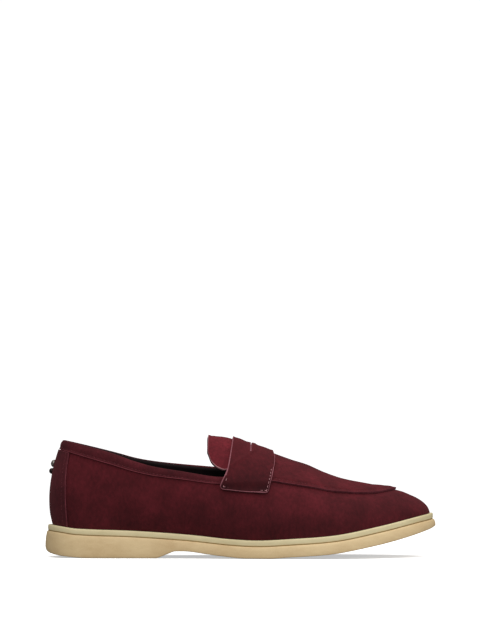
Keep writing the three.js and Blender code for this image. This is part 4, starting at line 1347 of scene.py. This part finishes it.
@dataclass
class Strap(Assembly):
    """The strap across the instep with its coin slot, and its backing.

    Args:
        corner: share of the strap's width that its rounded corners take.
        corner_rise: height of those corners.
        slot_x: where the slot's middle lies along the shoe.
        slot_length: length of the slot across the shoe.
        slot_width: width of the slot at its middle.
        cut_width: how far the pale cut edge reaches onto the face.
        gap: gap between the layers, which are pressed together.
        rounding: width of the rounded edges.
        ridge_width: width of the strap at the ridge.
        foot_width: width of the strap at its ends.
        inset: distance of the stitches from the edges.
        columns: columns of the mesh from an end to the ridge.
    """

    corner: float = 0.07
    corner_rise: float = 2.4
    slot_x: float = 156.6
    slot_length: float = 40.0
    slot_width: float = 0.8
    cut_width: float = 0.42
    gap: float = 0.1
    rounding: float = 0.45
    ridge_width: float = 31.0
    foot_width: float = 37.0
    inset: float = 1.9
    columns: int = 84

    def __post_init__(self) -> None:
        """Draws the edges as x against the share of the way up from an end to the ridge."""
        self.rear = through([(0, 134.3), (0.09, 135.6), (0.25, 138.2), (0.4, 139.8), (0.72, 141.6),
                             (1, 142.8)])
        self.front = through([(0, 171), (0.14, 172), (0.34, 173.4), (0.54, 174.3), (0.73, 175),
                              (0.86, 174.9), (1, 173.5)])
        self.end = through([(0, 51.4), (0.5, 49.2), (1, 48.3)])

    def seat(self, place: Array, level: Array) -> Array:
        """Height of the strap's underside off the last."""
        p = LAST.point(place, level)
        over = smooth(p[..., 2] - LAST.seam(p[..., 0]), -6.4, -1.4)
        return 1.5 * FIT_GAP + (APRON_OUT + 2 * self.gap - 1.5 * FIT_GAP) * over

    def foot(self, a: Array, outer: bool, margin: float) -> Array:
        """Level of the strap's lower end at shares of its width."""
        near = np.minimum(a, 1 - a) / self.corner
        lift = self.corner_rise * (1 - np.sqrt(np.clip(1 - (1 - np.minimum(near, 1)) ** 2, 0, 1)))
        rear, front = self.rear(np.array(0.05)), self.front(np.array(0.05))
        x = rear + (front - rear) * a
        height = self.end(a) + lift + margin * 20
        level = np.full_like(a, 0.5)
        for _ in range(3):
            level = LAST.level_at(LAST.place_at_x(x, level, outer), lambda _: height)
        return level

    @staticmethod
    def way_up(columns: int) -> Array:
        """Shares of the way up from the outer end to the ridge and down to the inner end."""
        up = 0.5 + 0.5 * np.cos(math.pi * np.linspace(0, 1, columns))
        return np.concatenate([up[::-1], up[1:]])

    def grid(self, a: Array, columns: int, margin: float = 0.0) -> tuple[Array, Array, Array]:
        """Places, levels and shares of the way up of the strap's grid.

        Args:
            a: shares of the width, for each row a single one or one at each column.
            columns: columns from an end to the ridge.
            margin: how far the lower ends stand back.

        Returns:
            Places and levels, and the share of the way up at each column.
        """
        q = self.way_up(columns)
        share = np.broadcast_to(a if a.ndim == 2 else a[:, None], (len(a), len(q)))
        place, level = np.empty(share.shape), np.empty(share.shape)
        for outer, side, end in ((True, slice(0, columns), 0), (False, slice(columns, None), -1)):
            here = q[side]
            bottom = self.foot(share[:, end], outer, margin)[:, None]
            level[:, side] = bottom + (1 - bottom) * here
            x = self.rear(here) + (self.front(here) - self.rear(here)) * share[:, side]
            place[:, side] = LAST.place_at_x(x, level[:, side], outer)
        return place, level, np.broadcast_to(q, share.shape)

    def draw_slot(self) -> None:
        """Finds the slot's lips at each column, as shares of the width, and where it is open."""
        q = self.way_up(self.columns)
        rear, front = self.rear(q), self.front(q)
        centre = (self.slot_x - rear) / (front - rear)
        place, level, _ = self.grid(centre[None], self.columns)
        y = LAST.point(place, level)[0, :, 1] - LAST.middle(np.array(self.slot_x))
        reach = np.clip(1 - np.abs(y) / (self.slot_length / 2), 0, 1)
        half = self.slot_width / 2 * reach ** 0.55 / (front - rear)
        self.rear_lip, self.front_lip = centre - half, centre + half * 0.9
        self.is_open = reach > 0

    def relief(self, share: Array, q: Array, p: Array) -> Array:
        """Unevenness of the strap's face: stitched edges, a curved fold, creases and the slot's welt."""
        width = self.ridge_width - 1
        near = np.minimum(share, 1 - share) * width
        puff = 0.22 * smooth(near, 2.4, 7) - 0.16 * bump(near, 1.9, 0.6) * smooth(q, 0.02, 0.1)
        path = 0.04 + 0.5 * smooth(q, 0.35, 0.95)
        arc = 0.7 * bump(share, path, 0.05) * smooth(q, 0.3, 0.5)
        crease = 0.16 * ripple(p, 26, 21) * smooth(near, 2, 6)
        by_slot = np.minimum(np.abs(share - self.rear_lip), np.abs(share - self.front_lip)) * width
        return puff + arc + crease + 0.35 * (bump(by_slot, 0.4, 1.4) * self.is_open)

    def build(self) -> None:
        """Makes the strap in two halves that meet at the slot, and its backing."""
        self.draw_slot()
        steps = 0.5 - 0.5 * np.cos(math.pi * np.linspace(0, 1, 26))[:, None]
        rear = self.make_half(self.rear_lip * steps, -1)
        front = self.make_half(self.front_lip + (1 - self.front_lip) * steps, 0)
        faces = np.concatenate([rear[1], front[1] + len(rear[0])])
        skins = Skins(STRAP_SUEDE, LINING, CUT_EDGE)
        self.band = mesh_object("penny_strap_suede", np.concatenate([rear[0], front[0]]), faces,
                                skins.materials(), np.concatenate([rear[2], front[2]]))
        add_bevel(self.band, self.rounding)
        self.backing = self.make_backing()

    def make_half(self, share: Array, lip_row: int) -> tuple[Array, Array, Array]:
        """Makes the strap on one side of the slot, open towards the other side where there is no slot.

        Args:
            share: shares of the strap's width at the half's points.
            lip_row: row that meets the other half.

        Returns:
            Its points, faces and material places.
        """
        place, level, q = self.grid(share, self.columns)
        low = self.seat(place, level) + (BACKING_THICKNESS + self.gap)
        relief = self.relief(share, q, LAST.point(place, level))
        outer = LAST.off(place, level, low + STRAP_THICKNESS + relief)
        inner = LAST.off(place, level, low + 0.3 * relief)
        size = share.size
        grid = np.arange(size).reshape(share.shape)
        face = quads(grid)
        first, last = strip(grid[0, ::-1], size), strip(grid[-1], size)
        slit = self.is_open[1:] | self.is_open[:-1]
        if lip_row == -1:
            last = last[slit]
        else:
            first = first[slit[::-1]]
        side = np.concatenate([strip(grid[:, 0], size), strip(grid[::-1, -1], size), last, first])
        rim = np.where(self.cut_rim(share, outer, lip_row), Skin.CUT.value, Skin.FACE.value)
        groups = np.concatenate([rim, np.repeat([Skin.BACK.value, Skin.CUT.value], [len(face), len(side)])])
        points = np.concatenate([outer.reshape(-1, 3), inner.reshape(-1, 3)])
        return points, np.concatenate([face, face[:, ::-1] + size, side]), groups

    def cut_rim(self, share: Array, outer: Array, lip_row: int) -> Array:
        """Which faces of one half's grid show the pale cut edge: along its edges, its ends and the slot.

        Args:
            share: shares of the strap's width at the grid's points.
            outer: points of the face.
            lip_row: row of the half that meets the other half.

        Returns:
            A flag for each face.
        """
        across = np.minimum(share, 1 - share) * self.ridge_width
        lip = np.where(self.is_open, np.abs(share - share[lip_row]) * self.ridge_width, np.inf)
        near = np.minimum(np.minimum(across, lip), edge_distance(outer))
        return centre_values(near).ravel() < self.cut_width

    def make_backing(self) -> bpy.types.Object:
        """Makes the leather under the strap."""
        a = 0.04 + 0.92 * (0.5 - 0.5 * np.cos(math.pi * np.linspace(0, 1, 34)))
        place, level, _ = self.grid(a, 60, 0.04)
        seat = self.seat(place, level)
        outer = LAST.off(place, level, seat + BACKING_THICKNESS)
        inner = LAST.off(place, level, seat)
        return shell("strap_backing_leather", outer, inner, ALL_LINING, bevel=0.15)

    def seams(self) -> list[Array]:
        """Stitch lines near the front edge, the lower ends and the lower rear corners."""
        lines = []
        inset = self.inset / self.foot_width
        columns = 120
        for outer in (True, False):
            for a, start, stop in ((1 - inset, 0.05, 0.52), (inset, 0.05, 0.17)):
                q = np.linspace(start, stop, columns)
                lines.append(self.face_line(np.full(columns, a), q, outer))
            a = np.linspace(inset * 1.4, 1 - inset * 1.4, columns)
            lines.append(self.face_line(a, np.full(columns, 0.045), outer))
        return lines

    def face_line(self, a: Array, q: Array, outer: bool) -> Array:
        """Points on the strap's face at shares of its width and of the way up."""
        bottom = self.foot(a, outer, 0.0)
        level = bottom + (1 - bottom) * q
        x = self.rear(q) + (self.front(q) - self.rear(q)) * a
        place = LAST.place_at_x(x, level, outer)
        height = self.seat(place, level) + BACKING_THICKNESS + self.gap + STRAP_THICKNESS
        return LAST.off(place, level, height)

    def dress(self) -> None:
        """Hands the strap to the frame."""
        carry(self.band, ["penny_strap"])
        carry(self.backing, ["strap_backing"])


@dataclass
class StitchRun:
    """Stitches set along lines by a node tree.

    Args:
        name: name of the object.
        lines: centre lines on the leather.
        finish: the thread.
        length: length of a stitch in millimetres.
        gap: gap between stitches.
        radius: radius of the thread.
        seed: seed of their unevenness.
    """

    name: str
    lines: list[Array]
    finish: Finish
    length: float = 2.4
    gap: float = 1.1
    radius: float = 0.3
    seed: int = 5

    def build(self) -> None:
        """Makes the stitches."""
        points, edges, count = [], [], 0
        for line in self.lines:
            points.append(LAST.metres(line))
            edges += [(count + i, count + i + 1) for i in range(len(line) - 1)]
            count += len(line)
        mesh = bpy.data.meshes.new(self.name + " lines")
        mesh.from_pydata(np.concatenate(points).tolist(), edges, [])
        source = bpy.data.objects.new(self.name + " lines", mesh)
        bpy.context.scene.collection.objects.link(source)
        modifier = source.modifiers.new("stitches", "NODES")
        modifier.node_group = self.tree()
        sizes = {"Stitch Length": self.length, "Gap": self.gap, "Thread Radius": self.radius}
        for item in modifier.node_group.interface.items_tree:
            if item.item_type == "SOCKET" and item.in_out == "INPUT" and item.name in sizes:
                modifier[item.identifier] = sizes[item.name] / 1000
        source.update_tag()
        graph = bpy.context.evaluated_depsgraph_get()
        made = bpy.data.meshes.new_from_object(source.evaluated_get(graph), depsgraph=graph)
        bpy.data.objects.remove(source)
        self.object = bpy.data.objects.new(self.name, made)
        bpy.context.scene.collection.objects.link(self.object)
        LOG.info("%s: %d faces", self.name, len(made.polygons))

    def tree(self) -> bpy.types.NodeTree:
        """Node tree that turns lines into stitches."""
        tree = bpy.data.node_groups.new(self.name, "GeometryNodeTree")
        tree.interface.new_socket("Geometry", in_out="INPUT", socket_type="NodeSocketGeometry")
        for name in ("Stitch Length", "Gap", "Thread Radius"):
            tree.interface.new_socket(name, in_out="INPUT", socket_type="NodeSocketFloat")
        tree.interface.new_socket("Geometry", in_out="OUTPUT", socket_type="NodeSocketGeometry")
        sheet = NodeSheet(tree)
        given = sheet.add("NodeGroupInput").outputs
        curve = sheet.add("GeometryNodeMeshToCurve", Mesh=given["Geometry"]).outputs["Curve"]
        pitch = sheet.maths("ADD", given["Stitch Length"], given["Gap"])
        dots = sheet.add("GeometryNodeCurveToPoints", {"mode": "LENGTH"}, Curve=curve, Length=pitch)
        turned = sheet.add("FunctionNodeAlignRotationToVector", {"axis": "Z"},
                           Vector=dots.outputs["Tangent"])
        ball = sheet.add("GeometryNodeMeshUVSphere", Segments=10, Rings=8, Radius=1.0)
        smooth_ball = sheet.add("GeometryNodeSetShadeSmooth", Geometry=ball.outputs["Mesh"])
        uneven = sheet.add("FunctionNodeRandomValue", {"data_type": "FLOAT"}, Seed=self.seed)
        uneven.inputs[2].default_value, uneven.inputs[3].default_value = 0.82, 1.12
        half = sheet.maths("MULTIPLY", given["Stitch Length"], 0.5)
        size = sheet.add("ShaderNodeCombineXYZ", X=given["Thread Radius"], Y=given["Thread Radius"],
                         Z=sheet.maths("MULTIPLY", half, uneven.outputs[1]))
        placed = sheet.add("GeometryNodeInstanceOnPoints", Points=dots.outputs["Points"],
                           Instance=smooth_ball.outputs[0], Rotation=turned.outputs[0],
                           Scale=size.outputs[0])
        real = sheet.add("GeometryNodeRealizeInstances", Geometry=placed.outputs[0])
        painted = sheet.add("GeometryNodeSetMaterial", Geometry=real.outputs[0],
                            Material=self.finish.material())
        sheet.add("NodeGroupOutput", Geometry=painted.outputs[0])
        return tree

    def dress(self) -> None:
        """Hands the stitches to the frame."""
        carry(self.object, [])


HIDDEN_PARTS: dict[str, Finish] = {
    "heel_filler": CORK, "forefoot_filler": CORK, "shank": STEEL, "insole_board": BOARD, "heel_pad": FOAM,
    "heel_counter": STIFFENER, "toe_puff": STIFFENER, "topline_tape": TAPE, "stud_washer_upper": BRASS,
    "stud_washer_lower": BRASS,
}


def dress_hidden() -> None:
    """Gives the frame's own hidden solids their finishes."""
    for node, finish in HIDDEN_PARTS.items():
        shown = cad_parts[node]
        shown.data.materials.clear()
        shown.data.materials.append(finish.material())
        LOG.info("%s: kept from the frame", node)


# ---- stage ----
@dataclass
class Studio:
    """White sweep, soft lights and a long lens from the outer side.

    Args:
        lens: focal length in millimetres.
        distance: metres from the camera to the shoe's middle.
        elevation: degrees above the horizon.
        aim_height: metres above the ground that the camera points at.
        aim_x: metres along the shoe that the camera points at.
        glow: light that the floor gives off towards the camera.
        gain: how much paler than the light on it the floor looks to the camera.
        bounce: share of the light that the floor throws back on the shoe.
        room: strength of the light from all round.
    """

    lens: float = 150.0
    distance: float = 2.056
    elevation: float = -2.85
    aim_height: float = 0.1816
    aim_x: float = -0.0006
    glow: float = 0.48
    gain: float = 1.25
    bounce: float = 0.3
    room: float = 0.28

    def build(self) -> None:
        """Makes the camera, the lights and the floor."""
        scene = bpy.context.scene
        scene.view_settings.view_transform = "Standard"
        scene.view_settings.look = "None"
        self.camera(scene)
        self.floor()
        self.lights(scene)

    def camera(self, scene: bpy.types.Scene) -> None:
        """Makes the camera."""
        data = bpy.data.cameras.new("camera")
        data.lens = self.lens
        data.sensor_width = 36.0
        rise = math.radians(self.elevation)
        made = bpy.data.objects.new("camera", data)
        target = Vector((self.aim_x, 0.0, self.aim_height))
        made.location = target + self.distance * Vector((0, -math.cos(rise), math.sin(rise)))
        made.rotation_euler = (target - made.location).to_track_quat("-Z", "Y").to_euler()
        scene.collection.objects.link(made)
        scene.camera = made

    def floor(self) -> None:
        """Makes the white sweep."""
        turn = np.linspace(0, math.pi / 2, 24)
        bend = [(1.6 + 1.2 * math.sin(t), 1.2 - 1.2 * math.cos(t)) for t in turn]
        path = [(-6.0, 0.0), (0.0, 0.0), (1.6, 0.0), *bend[1:], (2.8, 6.0)]
        points = [(x, y, z - 0.0004) for y, z in path for x in (-8.0, 8.0)]
        faces = [(2 * i, 2 * i + 1, 2 * i + 3, 2 * i + 2) for i in range(len(path) - 1)]
        mesh = bpy.data.meshes.new("sweep")
        mesh.from_pydata(points, [], faces)
        mesh.shade_smooth()
        material = bpy.data.materials.new("sweep")
        material.use_nodes = True
        self.paper(NodeSheet(material.node_tree))
        mesh.materials.append(material)
        made = bpy.data.objects.new("sweep", mesh)
        bpy.context.scene.collection.objects.link(made)

    def paper(self, sheet: NodeSheet) -> None:
        """Paint of the sweep: pale where it is seen, greyer in the light that it throws back."""
        sheet.tree.nodes.remove(sheet.tree.nodes["Principled BSDF"])
        seen = sheet.add("ShaderNodeBsdfDiffuse", Color=(*[self.gain] * 3, 1))
        glow = sheet.add("ShaderNodeEmission", Color=(1, 1, 1, 1), Strength=self.glow)
        both = sheet.tree.nodes.new("ShaderNodeAddShader")
        sheet.feed(both.inputs[0], seen.outputs[0])
        sheet.feed(both.inputs[1], glow.outputs[0])
        thrown = sheet.add("ShaderNodeBsdfDiffuse", Color=(*[self.bounce] * 3, 1))
        mix = sheet.tree.nodes.new("ShaderNodeMixShader")
        sheet.feed(mix.inputs[0], sheet.add("ShaderNodeLightPath").outputs["Is Camera Ray"])
        sheet.feed(mix.inputs[1], thrown.outputs[0])
        sheet.feed(mix.inputs[2], both.outputs[0])
        sheet.feed(sheet.tree.nodes["Material Output"].inputs["Surface"], mix.outputs[0])

    def lights(self, scene: bpy.types.Scene) -> None:
        """Makes the white surroundings and the soft boxes."""
        world = bpy.data.worlds.new("white room")
        world.use_nodes = True
        backdrop = world.node_tree.nodes["Background"]
        backdrop.inputs["Color"].default_value = (1, 1, 1, 1)
        backdrop.inputs["Strength"].default_value = self.room
        scene.world = world
        self.soft_box("front box", (-0.3, -1.9, 1.15), (0, 0, 0.05), 1.2, 15)
        self.soft_box("top box", (0.15, -0.25, 1.6), (0, 0, 0), 2.4, 27)
        self.soft_box("toe box", (1.6, -0.9, 0.45), (0.05, 0, 0.05), 0.7, 6)

    def soft_box(self, name: str, at: tuple[float, float, float], towards: tuple[float, float, float],
                 size: float, power: float) -> None:
        """Makes a square light that faces a point."""
        data = bpy.data.lights.new(name, "AREA")
        data.size = size
        data.energy = power
        made = bpy.data.objects.new(name, data)
        made.location = at
        made.rotation_euler = (Vector(towards) - Vector(at)).to_track_quat("-Z", "Y").to_euler()
        bpy.context.scene.collection.objects.link(made)


def main() -> None:
    """Builds the shoe round its frame, dresses it and lights it."""
    sole, lining, quarters, studs = Sole(), Lining(), Quarters(), Studs()
    apron, tongue, strap = Apron(), Tongue(), Strap()
    assemblies: list[Assembly] = [sole, lining, quarters, studs, apron, tongue, strap]
    for assembly in assemblies:
        assembly.build()
    stitches = [
        StitchRun("strap_stitches", strap.seams(), PINK_THREAD, length=2.0, gap=0.9, radius=0.22),
        StitchRun("seam_stitches", [*quarters.seams(), apron.seam()], RED_THREAD, length=2.2, gap=0.6,
                  radius=0.18),
    ]
    for run in stitches:
        run.build()
    for assembly in (*assemblies, *stitches):
        assembly.dress()
    dress_hidden()
    Studio().build()


if __name__ == "__main__":
    main()
